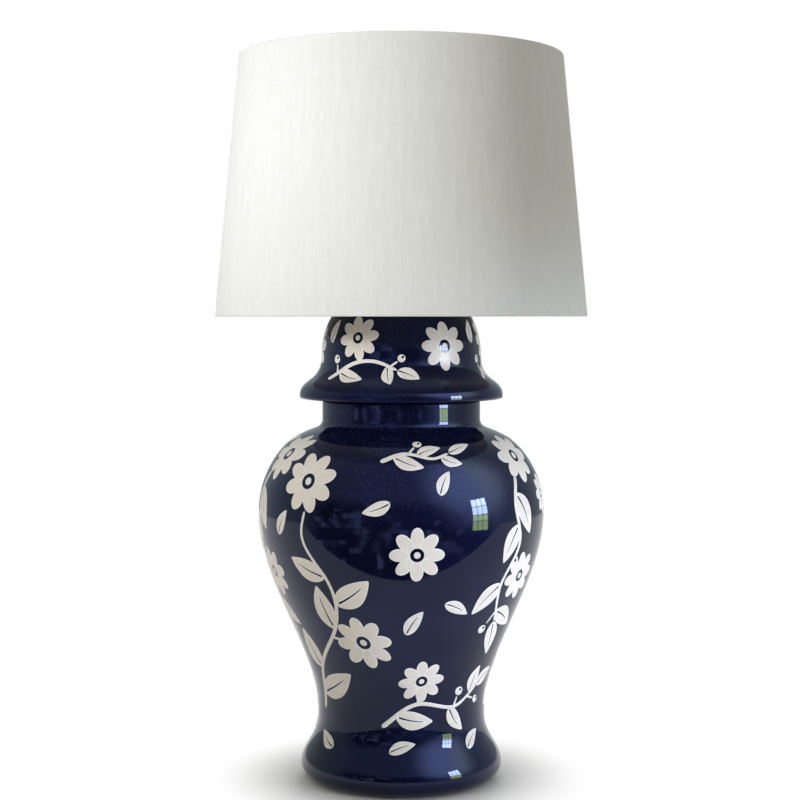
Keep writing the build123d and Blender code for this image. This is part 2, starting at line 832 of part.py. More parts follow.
def screw_shell():
    """Threaded sleeve that takes the bulb, with a flange on the moulded block."""
    plain = thread_radius + thread_depth / 2 + screw_gap
    middle = thread_radius + screw_gap
    foot_z = interior_top_z
    flange_z = foot_z + screw_shell_wall
    thread_z = bulb_thread_z
    thread_top_z = thread_z + screw_shell_turns * thread_pitch
    lead_z = thread_top_z + screw_shell_lead
    wall = screw_shell_wall
    flange_bore = plain - screw_shell_flange
    return turned(
        Line((flange_bore, foot_z), (plain + wall, foot_z)),
        Line((plain + wall, foot_z), (plain + wall, thread_z - screw_shell_lead)),
        Line((plain + wall, thread_z - screw_shell_lead), (middle + wall, thread_z)),
        *ring_thread(middle + wall, thread_z, screw_shell_turns),
        Line((middle + wall, thread_top_z), (plain + wall, lead_z)),
        Line((plain + wall, lead_z), (plain, lead_z)),
        Line((plain, lead_z), (middle, thread_top_z)),
        *ring_thread(middle, thread_z, screw_shell_turns),
        Line((middle, thread_z), (plain, thread_z - screw_shell_lead)),
        Line((plain, thread_z - screw_shell_lead), (plain, flange_z)),
        Line((plain, flange_z), (flange_bore, flange_z)),
        Line((flange_bore, flange_z), (flange_bore, foot_z)),
    )


def center_contact():
    """Bent brass tongue that presses up against the bulb's tip."""
    low_z = interior_top_z + contact_thickness / 2
    high_z = low_z + contact_rise
    route = Plane.XZ * Polyline(
        (-contact_half_length, low_z),
        (-contact_half_length / 2, low_z),
        (0, high_z),
        (contact_half_length / 2, high_z),
    )
    section = Plane(origin=route @ 0, x_dir=(0, 1, 0), z_dir=route % 0)
    strip = Rectangle(contact_width, contact_thickness)
    return sweep(section * strip, path=route, transition=Transition.RIGHT)


def switch_rotor():
    """Cam that the switch's shaft turns inside the moulded block."""
    low, high = rotor_back_reach + loose_gap, rotor_front_reach
    rotor = tube(switch_shaft_radius + touch_gap, rotor_radius, low, high)
    return Pos(0, 0, switch_z) * to_front(rotor)


def switch_shaft():
    inner = rotor_back_reach + loose_gap
    outer = knob_reach + knob_length - knob_end_wall - touch_gap
    return Pos(0, 0, switch_z) * to_front(rod(switch_shaft_radius, inner, outer))


def switch_knob():
    """Turn knob with a round collar and a flattened grip that stands upright at rest."""
    end = knob_reach + knob_length
    edge = knob_radius * 0.25
    body = turned_polygon(
        (0, knob_reach),
        (knob_radius, knob_reach),
        (knob_radius, end - edge),
        (knob_radius - edge, end),
        (0, end),
    )
    grip_length = knob_length - knob_collar
    side_cut = Box(knob_radius, 2 * knob_radius, 2 * grip_length)
    for side in (-1, 1):
        body -= Pos(side * (knob_wing + knob_radius) / 2, 0, end) * side_cut
    body -= rod(switch_shaft_radius + touch_gap, knob_reach - 1, end - knob_end_wall)
    return Pos(0, 0, switch_z) * to_front(body)


# ---------------------------------------------------------------- bulb

def bulb_contact():
    return turned(
        Line((0, bulb_z), (bulb_tip_radius * 0.6, bulb_z)),
        ThreePointArc(
            (bulb_tip_radius * 0.6, bulb_z),
            (bulb_tip_radius * 0.88, bulb_z + bulb_tip_height * 0.3),
            (bulb_tip_radius, bulb_insulator_z),
        ),
        Line((bulb_tip_radius, bulb_insulator_z), (0, bulb_insulator_z)),
        Line((0, bulb_insulator_z), (0, bulb_z)),
    )


def bulb_insulator():
    """Moulded cone between the tip and the threaded cap, with a plug inside the cap."""
    plug_radius = thread_radius - bulb_cap_wall - touch_gap
    rim_z = bulb_thread_z - touch_gap
    return turned_polygon(
        (0, bulb_insulator_z),
        (bulb_tip_radius, bulb_insulator_z),
        (between(bulb_tip_radius, thread_radius, 0.75), between(bulb_insulator_z, rim_z, 0.3)),
        (thread_radius, rim_z),
        (plug_radius, rim_z),
        (plug_radius, rim_z + bulb_insulator_plug),
        (0, rim_z + bulb_insulator_plug),
    )


def bulb_cap():
    """Threaded metal cap of the bulb, an open sleeve with a plain collar at the top."""
    outer = thread_radius
    inner = thread_radius - bulb_cap_wall
    collar_outer = thread_radius + thread_depth / 2
    collar_inner = collar_outer - bulb_cap_wall
    collar_z = bulb_thread_top_z + thread_depth
    return turned(
        *ring_thread(outer, bulb_thread_z, thread_turns),
        Line((outer, bulb_thread_top_z), (collar_outer, collar_z)),
        Line((collar_outer, collar_z), (collar_outer, bulb_glass_z)),
        Line((collar_outer, bulb_glass_z), (collar_inner, bulb_glass_z)),
        Line((collar_inner, bulb_glass_z), (collar_inner, collar_z)),
        Line((collar_inner, collar_z), (inner, bulb_thread_top_z)),
        *ring_thread(inner, bulb_thread_z, thread_turns),
        Line((inner, bulb_thread_z), (outer, bulb_thread_z)),
    )


def bulb_side(radius, neck_radius, low_z, top_z):
    """Outline of the glass: a neck that swells into a round crown closed on the axis."""
    centre_z = top_z - radius
    angle = math.radians(bulb_shoulder_angle)
    join = (radius * math.cos(angle), centre_z - radius * math.sin(angle))
    neck = Spline(
        (neck_radius, low_z), join, tangents=((0, 1), (math.sin(angle), math.cos(angle)))
    )
    crown = ThreePointArc(join, (radius, centre_z), (0, top_z))
    return neck, crown


def bulb_glass():
    top_z = bulb_z + bulb_height
    low_z = bulb_glass_z + touch_gap
    outer_neck, outer_crown = bulb_side(bulb_radius, bulb_neck_radius, low_z, top_z)
    inner_neck, inner_crown = bulb_side(
        bulb_radius - bulb_glass_wall, bulb_neck_radius - bulb_glass_wall, low_z, top_z - bulb_glass_wall
    )
    return turned(
        outer_neck,
        outer_crown,
        Line((0, top_z), (0, top_z - bulb_glass_wall)),
        inner_crown,
        inner_neck,
        Line((bulb_neck_radius - bulb_glass_wall, low_z), (bulb_neck_radius, low_z)),
    )


# ---------------------------------------------------------------- shade

def shade_radius(z):
    """Outside radius of the shade at a height."""
    share = (z - shade_bottom_z) / shade_height
    return between(shade_bottom_radius, shade_top_radius, share)


def in_wall(z, inset):
    """A point at a height, a depth inside the shade's outside."""
    return shade_radius(z) - inset, z


def hem_points(edge_z, towards):
    """Outline of one rolled edge. It starts at the outside corner, goes over the ring and down
    inside it, and comes back to the linen's own inner face."""
    steps = [
        (0, 0),
        (ring_inner_inset + hem_thickness, 0),
        (ring_inner_inset + hem_thickness, ring_span),
        (backing_inset + hem_thickness, hem_depth),
        (backing_inset, hem_depth),
        (ring_inner_inset, ring_span),
        (ring_inner_inset, linen_thickness),
        (linen_thickness, linen_thickness),
    ]
    return [in_wall(edge_z + towards * depth, inset) for inset, depth in steps]


def arm_route():
    """Centre line of one spider arm, from its end on the hub out to the top ring."""
    end_x, end_z = shade_ring_place(shade_top_z, -1)
    outer_x = end_x - shade_ring_radius - touch_gap
    ledge_x = outer_x - arm_ledge
    low_z = hub_top_z + touch_gap + arm_radius
    return Plane.XZ * FilletPolyline(
        (arm_inner_radius, low_z),
        (ledge_x - arm_slope_run, low_z),
        (ledge_x, end_z),
        (outer_x, end_z),
        radius=arm_bend_radius,
    )


def arm_angles():
    return [arm_first_angle + i * 360 / arm_count for i in range(arm_count)]


def shade_fabric():
    outline = hem_points(shade_bottom_z, 1) + hem_points(shade_top_z, -1)[::-1]
    linen = turned_polygon(*outline)
    end_x, end_z = shade_ring_place(shade_top_z, -1)
    slot = rod(arm_radius + touch_gap, end_x - 4 * arm_radius, end_x)
    for angle in arm_angles():
        linen -= Rot(0, 0, angle) * Pos(0, 0, end_z) * to_side(slot, 1)
    return linen


def shade_liner():
    low_z = shade_bottom_z + linen_thickness + touch_gap
    high_z = shade_top_z - linen_thickness - touch_gap
    return turned_polygon(
        in_wall(low_z, backing_inset - touch_gap),
        in_wall(low_z, linen_thickness + touch_gap),
        in_wall(high_z, linen_thickness + touch_gap),
        in_wall(high_z, backing_inset - touch_gap),
    )


def shade_ring_place(edge_z, towards):
    """Radius and height of a ring's centre line, for the ring at an edge of the shade."""
    z = edge_z + towards * (ring_span / 2 + linen_thickness / 2)
    return shade_radius(z) - backing_inset - shade_ring_radius, z


def shade_ring(edge_z, towards):
    radius, z = shade_ring_place(edge_z, towards)
    return Pos(0, 0, z) * Torus(radius, shade_ring_radius)


def spider_arms():
    route = arm_route()
    arm = sweep(Plane(origin=route @ 0, z_dir=route % 0) * Circle(arm_radius), path=route)
    return Compound([Rot(0, 0, angle) * arm for angle in arm_angles()])


def spider_hub():
    return tube(hub_hole_radius, hub_radius, harp_seat_z, hub_top_z)


# ---------------------------------------------------------------- finial

def finial_base():
    """Turned brass base, tapped for the harp's stud, with a spigot for the ball."""
    bore = stud_radius + run_gap
    bore_top_z = stud_top_z + loose_gap
    flange_z = finial_z + finial_flange_height
    top_z = finial_z + finial_base_height
    spigot_z = top_z + finial_spigot_height
    return turned(
        Line((bore, finial_z), (finial_flange_radius, finial_z)),
        Line((finial_flange_radius, finial_z), (finial_flange_radius, flange_z)),
        ThreePointArc(
            (finial_flange_radius, flange_z),
            (between(finial_neck_radius, finial_flange_radius, 0.25), between(flange_z, top_z, 0.3)),
            (finial_neck_radius, top_z),
        ),
        Line((finial_neck_radius, top_z), (finial_spigot_radius, top_z)),
        Line((finial_spigot_radius, top_z), (finial_spigot_radius, spigot_z)),
        Line((finial_spigot_radius, spigot_z), (0, spigot_z)),
        Line((0, spigot_z), (0, bore_top_z)),
        Line((0, bore_top_z), (bore, bore_top_z)),
        Line((bore, bore_top_z), (bore, finial_z)),
    )


def finial_ball():
    low_z = finial_z + finial_base_height
    centre_z = low_z + math.sqrt(finial_ball_radius ** 2 - finial_ball_foot ** 2)
    top_z = centre_z + finial_ball_radius
    ball = turned(
        Line((0, low_z), (finial_ball_foot, low_z)),
        ThreePointArc((finial_ball_foot, low_z), (finial_ball_radius, centre_z), (0, top_z)),
        Line((0, top_z), (0, low_z)),
    )
    hole_top_z = low_z + finial_spigot_height + touch_gap
    return ball - rod(finial_spigot_radius + touch_gap, low_z - 1, hole_top_z)


pieces = {
    "jar_body": jar_body(),
    "jar_lid": jar_lid(),
    "foot_felt": foot_felt(),
    "cord_bushing": cord_bushing(),
    "lamp_pipe": lamp_pipe(),
    "bottom_rubber_washer": bottom_rubber_washer(),
    "bottom_washer": bottom_washer(),
    "bottom_lock_washer": bottom_lock_washer(),
    "bottom_nut": bottom_nut(),
    "lid_rubber_washer": lid_rubber_washer(),
    "vase_cap": vase_cap(),
    "neck_spacer": neck_spacer(),
    "harp_saddle": harp_saddle(),
    "saddle_nut": saddle_nut(),
    "socket_cap": socket_cap(),
    "socket_set_screw": socket_set_screw(),
    "socket_shell": socket_shell(),
    "socket_liner": socket_liner(),
    "socket_interior": socket_interior(),
    "terminal_screw_hot": terminal_screw(1),
    "terminal_screw_neutral": terminal_screw(-1),
    "screw_shell": screw_shell(),
    "center_contact": center_contact(),
    "switch_rotor": switch_rotor(),
    "switch_shaft": switch_shaft(),
    "switch_knob": switch_knob(),
    "harp_wire": harp_wire(),
    "harp_top": harp_top(),
    "ferrule_left": ferrule(-1),
    "ferrule_right": ferrule(1),
    "bulb_contact": bulb_contact(),
    "bulb_insulator": bulb_insulator(),
    "bulb_cap": bulb_cap(),
    "bulb_glass": bulb_glass(),
    "shade_fabric": shade_fabric(),
    "shade_liner": shade_liner(),
    "shade_top_ring": shade_ring(shade_top_z, -1),
    "shade_bottom_ring": shade_ring(shade_bottom_z, 1),
    "spider_arms": spider_arms(),
    "spider_hub": spider_hub(),
    "finial_base": finial_base(),
    "finial_ball": finial_ball(),
}

os.makedirs("parts", exist_ok=True)
for name, piece in pieces.items():
    export_step(piece, f"parts/{name}.step")
    print(f"{name}: {len(piece.solids())} solids, {piece.volume:.0f} mm3")
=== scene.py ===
import json
from math import atan2, cos, dist, hypot, pi, radians, sin, tau
import bmesh
import bpy
import numpy as np
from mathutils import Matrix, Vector
from mathutils.geometry import delaunay_2d_cdt


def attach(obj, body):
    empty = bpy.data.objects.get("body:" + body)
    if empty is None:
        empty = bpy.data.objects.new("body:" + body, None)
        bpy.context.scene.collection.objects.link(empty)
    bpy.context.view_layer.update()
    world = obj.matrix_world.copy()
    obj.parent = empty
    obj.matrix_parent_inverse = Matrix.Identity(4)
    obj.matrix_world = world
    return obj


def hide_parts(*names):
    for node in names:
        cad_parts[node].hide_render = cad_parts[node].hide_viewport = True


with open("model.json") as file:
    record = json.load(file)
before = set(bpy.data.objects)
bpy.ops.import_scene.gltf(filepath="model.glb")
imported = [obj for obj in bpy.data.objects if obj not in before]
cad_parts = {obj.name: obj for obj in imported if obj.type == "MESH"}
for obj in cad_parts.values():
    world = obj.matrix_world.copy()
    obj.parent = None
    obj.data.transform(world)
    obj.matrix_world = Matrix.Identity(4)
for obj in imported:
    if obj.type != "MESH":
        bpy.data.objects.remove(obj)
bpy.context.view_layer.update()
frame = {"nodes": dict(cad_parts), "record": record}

mm = 0.001
nodes = frame["nodes"]


def linear(code):
    # sRGB hex to the linear colour that the shaders want
    parts = [int(code[i:i + 2], 16) / 255 for i in (1, 3, 5)]
    parts = [c / 12.92 if c <= 0.04045 else ((c + 0.055) / 1.055) ** 2.4 for c in parts]
    return (*parts, 1.0)


def addNode(tree, kind, inputs=None, **settings):
    node = tree.nodes.new(kind)
    for name, value in settings.items():
        setattr(node, name, value)
    for key, value in (inputs or {}).items():
        if isinstance(value, bpy.types.NodeSocket):
            tree.links.new(value, node.inputs[key])
        else:
            node.inputs[key].default_value = value
    return node.outputs


def maths(tree, operation, *values):
    return addNode(tree, "ShaderNodeMath", dict(enumerate(values)), operation=operation)[0]


def product(tree, first, *others):
    for value in others:
        first = maths(tree, "MULTIPLY", first, value)
    return first


def vectorMaths(tree, operation, *values):
    return addNode(tree, "ShaderNodeVectorMath", dict(enumerate(values)), operation=operation)


def xyzOf(tree, vector):
    return addNode(tree, "ShaderNodeSeparateXYZ", {0: vector})


def vectorOf(tree, *values):
    return addNode(tree, "ShaderNodeCombineXYZ", dict(enumerate(values)))[0]


def remapped(tree, value, span, target=(0.0, 1.0), kind="LINEAR"):
    inputs = {"Value": value, "From Min": span[0], "From Max": span[1], "To Min": target[0], "To Max": target[1]}
    return addNode(tree, "ShaderNodeMapRange", inputs, interpolation_type=kind)[0]


def noise(tree, place, size, detail, roughness=0.5, space="3D"):
    return addNode(tree, "ShaderNodeTexNoise", {"Vector": place, "Scale": 1 / size, "Detail": detail,
                                                "Roughness": roughness}, noise_dimensions=space)["Fac"]


def bumped(tree, pattern, strength, height):
    return addNode(tree, "ShaderNodeBump", {"Height": pattern, "Strength": strength, "Distance": height})[0]


def blend(tree, share, low, high):
    # each colour is a hex code or comes out of another node
    low, high = (linear(colour) if isinstance(colour, str) else colour for colour in (low, high))
    mix = addNode(tree, "ShaderNodeMix", {"Factor": share, "A": low, "B": high}, data_type="RGBA")
    return mix["Result"]


def objectPlace(tree):
    return addNode(tree, "ShaderNodeTexCoord")["Object"]


def newMaterial(name, look):
    material = bpy.data.materials.new(name)
    material.use_nodes = True
    tree = material.node_tree
    for key, value in look.items():
        tree.nodes["Principled BSDF"].inputs[key].default_value = value
    return material, tree


def driven(material, sockets):
    # links patterns to the shader that the material began with
    tree = material.node_tree
    for key, socket in sockets.items():
        tree.links.new(socket, tree.nodes["Principled BSDF"].inputs[key])
    return material


def ringFaces(rings, wide, first=0):
    # four-cornered faces between each ring of points and the next
    return [[first + r * wide + i for r, i in ((ring, i), (ring, (i + 1) % wide), (ring + 1, (i + 1) % wide),
                                               (ring + 1, i))] for ring in range(rings - 1) for i in range(wide)]


def newObject(name, data):
    obj = bpy.data.objects.new(name, data)
    bpy.context.scene.collection.objects.link(obj)
    return obj


def meshObject(name, points, edges=(), faces=()):
    mesh = bpy.data.meshes.new(name)
    mesh.from_pydata([tuple(p) for p in points], list(edges), list(faces))
    return newObject(name, mesh)


def dropObject(obj):
    data = obj.data
    bpy.data.objects.remove(obj)
    (bpy.data.meshes if isinstance(data, bpy.types.Mesh) else bpy.data.curves).remove(data)


def evaluatedMesh(obj):
    view = bpy.context.evaluated_depsgraph_get()
    return bpy.data.meshes.new_from_object(obj.evaluated_get(view), preserve_all_data_layers=True, depsgraph=view)


# outlines, in millimetres as (radius, height)

def throughPoints(points, startWay, endWay, step):
    # a smooth line through points that leaves and arrives in the given directions
    p = np.array(points, float)
    run = np.linalg.norm(np.diff(p, axis=0), axis=1)
    last = len(p) - 1
    grid, wanted = np.zeros((last + 1, last + 1)), np.zeros((last + 1, 2))
    grid[0, 0] = grid[last, last] = 1
    wanted[0], wanted[last] = startWay, endWay
    for i in range(1, last):
        grid[i, i - 1], grid[i, i], grid[i, i + 1] = run[i], 2 * (run[i - 1] + run[i]), run[i - 1]
        wanted[i] = 3 * (run[i] * (p[i] - p[i - 1]) / run[i - 1] + run[i - 1] * (p[i + 1] - p[i]) / run[i])
    way = np.linalg.solve(grid, wanted)
    line = []
    for i in range(last):
        for t in np.linspace(0, 1, max(2, int(run[i] / step) + 1), endpoint=False):
            a, b = 2 * t ** 3 - 3 * t ** 2 + 1, t ** 3 - 2 * t ** 2 + t
            c, d = 3 * t ** 2 - 2 * t ** 3, t ** 3 - t ** 2
            line.append(a * p[i] + b * run[i] * way[i] + c * p[i + 1] + d * run[i] * way[i + 1])
    return np.array(line + [p[last]])


def arc(centre, radius, start, end, count):
    turns = np.radians(np.linspace(start, end, count))
    return np.array(centre) + radius * np.stack([np.cos(turns), np.sin(turns)], axis=1)


def straight(start, end, step):
    count = max(2, int(dist(start, end) / step) + 1)
    return np.linspace(start, end, count)


def joined(*lines):
    # one line without the doubled points where two meet
    points = []
    for line in lines:
        for point in np.atleast_2d(line):
            if not points or dist(points[-1], point) > 1e-4:
                points.append(tuple(point))
    return np.array(points)


def sharesBetween(start, end, shares):
    return [(start[0] + (end[0] - start[0]) * r, start[1] + (end[1] - start[1]) * z) for r, z in shares]


def lengthsAlong(line):
    return np.concatenate([[0], np.cumsum(np.linalg.norm(np.diff(line, axis=0), axis=1))])


def leftOf(way):
    # unit steps to the left of each direction
    way = way / np.maximum(np.linalg.norm(way, axis=1, keepdims=True), 1e-9)
    return np.stack([-way[:, 1], way[:, 0]], axis=1)


def insideOf(line, depth):
    # the line moved to its left, which is inwards for a rising outline
    return line + depth * leftOf(np.gradient(line, axis=0))


# Geometry Nodes: a wall turned from its cross-section, and flat pieces laid on a turned wall

def startTree(name, inputs, output):
    tree = bpy.data.node_groups.new(name, "GeometryNodeTree")
    for label, kind in inputs.items():
        tree.interface.new_socket(label, in_out="INPUT", socket_type="NodeSocket" + kind)
    tree.interface.new_socket(output, in_out="OUTPUT", socket_type="NodeSocketGeometry")
    return tree, addNode(tree, "NodeGroupInput")


def endTree(tree, geometry, finish):
    smooth = addNode(tree, "GeometryNodeSetShadeSmooth", {"Geometry": geometry})
    real = addNode(tree, "GeometryNodeRealizeInstances", {"Geometry": smooth[0]})
    coated = addNode(tree, "GeometryNodeSetMaterial", {"Geometry": real[0], "Material": finish})
    addNode(tree, "NodeGroupOutput", {0: coated[0]})
    return tree


def roundAxis(tree, radius, turn, height):
    # turn is counted from the front, which is at -y
    across = product(tree, radius, maths(tree, "SINE", turn))
    return vectorOf(tree, across, product(tree, radius, maths(tree, "COSINE", turn), -1.0), height)


def namedValue(tree, name):
    return addNode(tree, "GeometryNodeInputNamedAttribute", {"Name": name}, data_type="FLOAT")[0]


def turnedWallTree():
    # a grid with a row for each point of the outline, rolled round the axis with its seam at the back
    tree, given = startTree("turnedWall", {"Outline": "Geometry", "Segments": "Int", "Cloth radius": "Float",
                                           "Finish": "Material"}, "Wall")
    outline = given["Outline"]
    rows = addNode(tree, "GeometryNodeAttributeDomainSize", {"Geometry": outline})["Point Count"]
    columns = maths(tree, "ADD", given["Segments"], 1.0)
    sheet = addNode(tree, "GeometryNodeMeshGrid", {"Size X": 1.0, "Size Y": 1.0, "Vertices X": columns,
                                                   "Vertices Y": rows})
    position = addNode(tree, "GeometryNodeInputPosition")[0]
    place = xyzOf(tree, position)
    turn = product(tree, place["X"], tau)
    row = product(tree, maths(tree, "ADD", place["Y"], 0.5), maths(tree, "SUBTRACT", rows, 1.0))
    row = maths(tree, "ADD", row, 0.25)  # clear of the rounding to a whole number

    def sampled(value, kind):
        return addNode(tree, "GeometryNodeSampleIndex", {"Geometry": outline, "Index": row, "Value": value},
                       data_type=kind)[0]

    point = xyzOf(tree, sampled(position, "FLOAT_VECTOR"))
    weave = vectorOf(tree, product(tree, turn, given["Cloth radius"]), sampled(namedValue(tree, "along"), "FLOAT"))
    mapped = addNode(tree, "GeometryNodeStoreNamedAttribute",
                     {"Geometry": sheet["Mesh"], "Name": "clothMap", "Value": weave},
                     data_type="FLOAT2", domain="CORNER")
    turned = addNode(tree, "GeometryNodeSetPosition", {
        "Geometry": mapped[0], "Position": roundAxis(tree, point["X"], turn, point["Z"])})
    closed = addNode(tree, "GeometryNodeMergeByDistance", {"Geometry": turned[0], "Distance": 2e-6})
    return endTree(tree, closed[0], given["Finish"])


def laidOnWallTree():
    # x runs round the wall from each piece's centre, y up along the outline and z out of the wall
    tree, given = startTree("laidOnWall", {"Flat": "Geometry", "Outline": "Object", "Finish": "Material"}, "Laid")
    line = addNode(tree, "GeometryNodeObjectInfo", {"Object": given["Outline"]})
    flat = xyzOf(tree, addNode(tree, "GeometryNodeInputPosition")[0])
    spot = addNode(tree, "GeometryNodeSampleCurve", {"Curves": line["Geometry"], "Length": flat["Y"]},
                   mode="LENGTH", use_all_curves=True)
    place, way = xyzOf(tree, spot["Position"]), xyzOf(tree, spot["Tangent"])
    turn = maths(tree, "ADD", namedValue(tree, "centre"), maths(tree, "DIVIDE", flat["X"], place["X"]))
    out = maths(tree, "MULTIPLY_ADD", flat["Z"], way["Z"], place["X"])
    height = maths(tree, "SUBTRACT", place["Z"], product(tree, flat["Z"], way["X"]))
    moved = addNode(tree, "GeometryNodeSetPosition", {"Geometry": given["Flat"],
                                                      "Position": roundAxis(tree, out, turn, height)})
    return endTree(tree, moved[0], given["Finish"])


turnedWall = turnedWallTree()
laidOnWall = laidOnWallTree()


def bakeTree(name, start, tree, values):
    # runs a tree on an object and keeps only the plain mesh it makes
    modifier = start.modifiers.new("build", "NODES")
    modifier.node_group = tree
    for item in tree.interface.items_tree:
        if item.in_out == "INPUT" and item.name in values:
            modifier[item.identifier] = values[item.name]
    obj = newObject(name, evaluatedMesh(start))
    obj.data.name = name
    dropObject(start)
    return obj


def turnedPiece(name, outline, segments, finish, clothRadius=0.1, sharpAngle=32):
    # outline: closed, in millimetres, with the piece on its left
    line = np.vstack([outline, outline[:1]]) * mm
    start = meshObject(name + "Outline", [(r, 0, z) for r, z in line], [(i, i + 1) for i in range(len(line) - 1)])
    along = start.data.attributes.new("along", "FLOAT", "POINT")
    along.data.foreach_set("value", lengthsAlong(line).astype(np.float32))
    obj = bakeTree(name, start, turnedWall, {"Segments": segments, "Cloth radius": clothRadius, "Finish": finish})
    obj.data.set_sharp_from_angle(angle=radians(sharpAngle))
    return obj


def laidPiece(name, flat, line, values, finish):
    # values: numbers for each corner of the flat piece, by name
    for key, numbers in values.items():
        flat.data.attributes.new(key, "FLOAT", "POINT").data.foreach_set("value", numbers)
    curve = bpy.data.curves.new(name + "Line", "CURVE")
    curve.dimensions = "3D"
    spline = curve.splines.new("POLY")
    spline.points.add(len(line) - 1)
    for point, (r, z) in zip(spline.points, line):
        point.co = (r * mm, 0, z * mm, 1)
    outline = newObject(name + "Line", curve)
    obj = bakeTree(name, flat, laidOnWall, {"Outline": outline, "Finish": finish})
    dropObject(outline)
    return obj


def glazeFinish(name, look):
    # cobalt glaze on earthenware, fired glossy: a hard clear skin over ink blue, a little wavy, with fine specks
    material, tree = newMaterial(name, {
        "Roughness": look["roughness"], "Specular IOR Level": look["specular"],
        "Specular Tint": linear(look["skinTint"])})
    place = objectPlace(tree)
    clouds = noise(tree, place, look["cloudSize"], 3.0)
    base = blend(tree, remapped(tree, clouds, look["cloudSpan"]), look["dark"], look["light"])
    cells = addNode(tree, "ShaderNodeTexVoronoi", {"Vector": place, "Scale": 1 / look["speckGap"]})
    dots = remapped(tree, cells["Distance"], look["speckRim"])
    chance = addNode(tree, "ShaderNodeSeparateColor", {0: cells["Color"]})[0]
    chosen = maths(tree, "LESS_THAN", chance, look["speckShare"])
    rise = remapped(tree, xyzOf(tree, place)["Z"], look["speckHeights"], look["speckStrength"])
    speck = product(tree, dots, chosen, rise)
    # the fired skin is never quite even: waves a few centimetres wide and under a tenth of a millimetre high
    waves = noise(tree, place, look["waveSize"], 2.0)
    return driven(material, {
        "Base Color": blend(tree, speck, base, look["speck"]),
        "Roughness": remapped(tree, clouds, (0, 1), [look["roughness"] * x for x in look["uneven"]]),
        "Normal": bumped(tree, waves, 1.0, look["waveHeight"])})


def enamelFinish(name, look):
    # white overglaze enamel, brushed on thick and fired satin: soft sheen, faint brush unevenness, and a painted
    # highlight along the rounded rim
    material, tree = newMaterial(name, {"Roughness": look["roughness"]})
    strokes = noise(tree, objectPlace(tree), look["strokeSize"], 4.0)
    depth = addNode(tree, "ShaderNodeAttribute", attribute_name="depth")["Fac"]
    body = blend(tree, strokes, look["thin"], look["thick"])
    # the edge colour over the first half millimetre in from each rim is a painted highlight on the enamel's rounded
    # edge
    return driven(material, {
        "Base Color": blend(tree, remapped(tree, depth, look["rim"]), body, look["edge"]),
        "Roughness": remapped(tree, strokes, (0, 1), [look["roughness"] + x for x in look["uneven"]]),
        "Normal": bumped(tree, strokes, 0.6, look["strokeHeight"])})


def linenFinish(name, look):
    # bleached linen laminated on styrene: matt, slubby threads, the upright ones plainer to see
    material, tree = newMaterial(name, {"Roughness": 0.88, "Sheen Weight": 0.12, "Specular IOR Level": 0.25})
    cloth = addNode(tree, "ShaderNodeUVMap", uv_map="clothMap")[0]
    warp, weft = look["threadGap"]
    slub, broad, tall = look["slub"], *look["band"]

    def threads(across, along, detail, roughness):
        scale = (1 / across, 1 / along, 1)
        stretched = addNode(tree, "ShaderNodeMapping", {"Vector": cloth, "Scale": scale})[0]
        return noise(tree, stretched, 1.0, detail, roughness, "2D")

    # real threads lie 0.6 mm apart; the ones drawn are about one and a half times as coarse, to show in a render
    warps, wefts = threads(warp, slub, 2.0, 0.6), threads(slub, weft, 2.0, 0.6)
    weave = maths(tree, "MULTIPLY_ADD", warps, look["warpShare"], wefts)
    bands = threads(broad * warp, tall * slub, 3.0, 0.65)
    tone = maths(tree, "MULTIPLY_ADD", bands, look["bandShare"], weave)
    return driven(material, {
        "Base Color": blend(tree, remapped(tree, tone, look["toneSpan"]), look["shade"], look["light"]),
        "Normal": bumped(tree, weave, 1.0, look["threadHeight"])})


wheel = {"span": (0.3, 0.7), "uneven": (0.75, 1.35), "scratch": 0.01}


def brushedMetal(name, dull, bright, roughness, grain, stain):
    # plated or turned metal: bright, streaked round the axis by the polishing wheel; grain and stain are in mm
    material, tree = newMaterial(name, {"Metallic": 1.0, "Roughness": roughness})
    place = objectPlace(tree)
    across, along = (1 / (size * mm) for size in grain)
    stretched = addNode(tree, "ShaderNodeMapping", {"Vector": place, "Scale": (across, across, along)})
    streaks = noise(tree, stretched[0], 1.0, 3.0)
    return driven(material, {
        "Base Color": blend(tree, noise(tree, place, stain * mm, 2.0), dull, bright),
        "Roughness": remapped(tree, streaks, wheel["span"], [roughness * x for x in wheel["uneven"]]),
        "Normal": bumped(tree, streaks, 0.5, wheel["scratch"] * mm)})


def mouldedFinish(name, dark, light, roughness, mottle, skin, skinHeight, uneven=0.07):
    # moulded, pressed or cut stuff: even colour with a little mottling and a fine skin texture, in mm
    material, tree = newMaterial(name, {"Roughness": roughness})
    place = objectPlace(tree)
    mottled = noise(tree, place, mottle * mm, 4.0)
    return driven(material, {
        "Base Color": blend(tree, mottled, dark, light),
        "Roughness": remapped(tree, mottled, (0, 1), (roughness - uneven, roughness + uneven)),
        "Normal": bumped(tree, noise(tree, place, skin * mm, 3.0), 0.8, skinHeight * mm)})


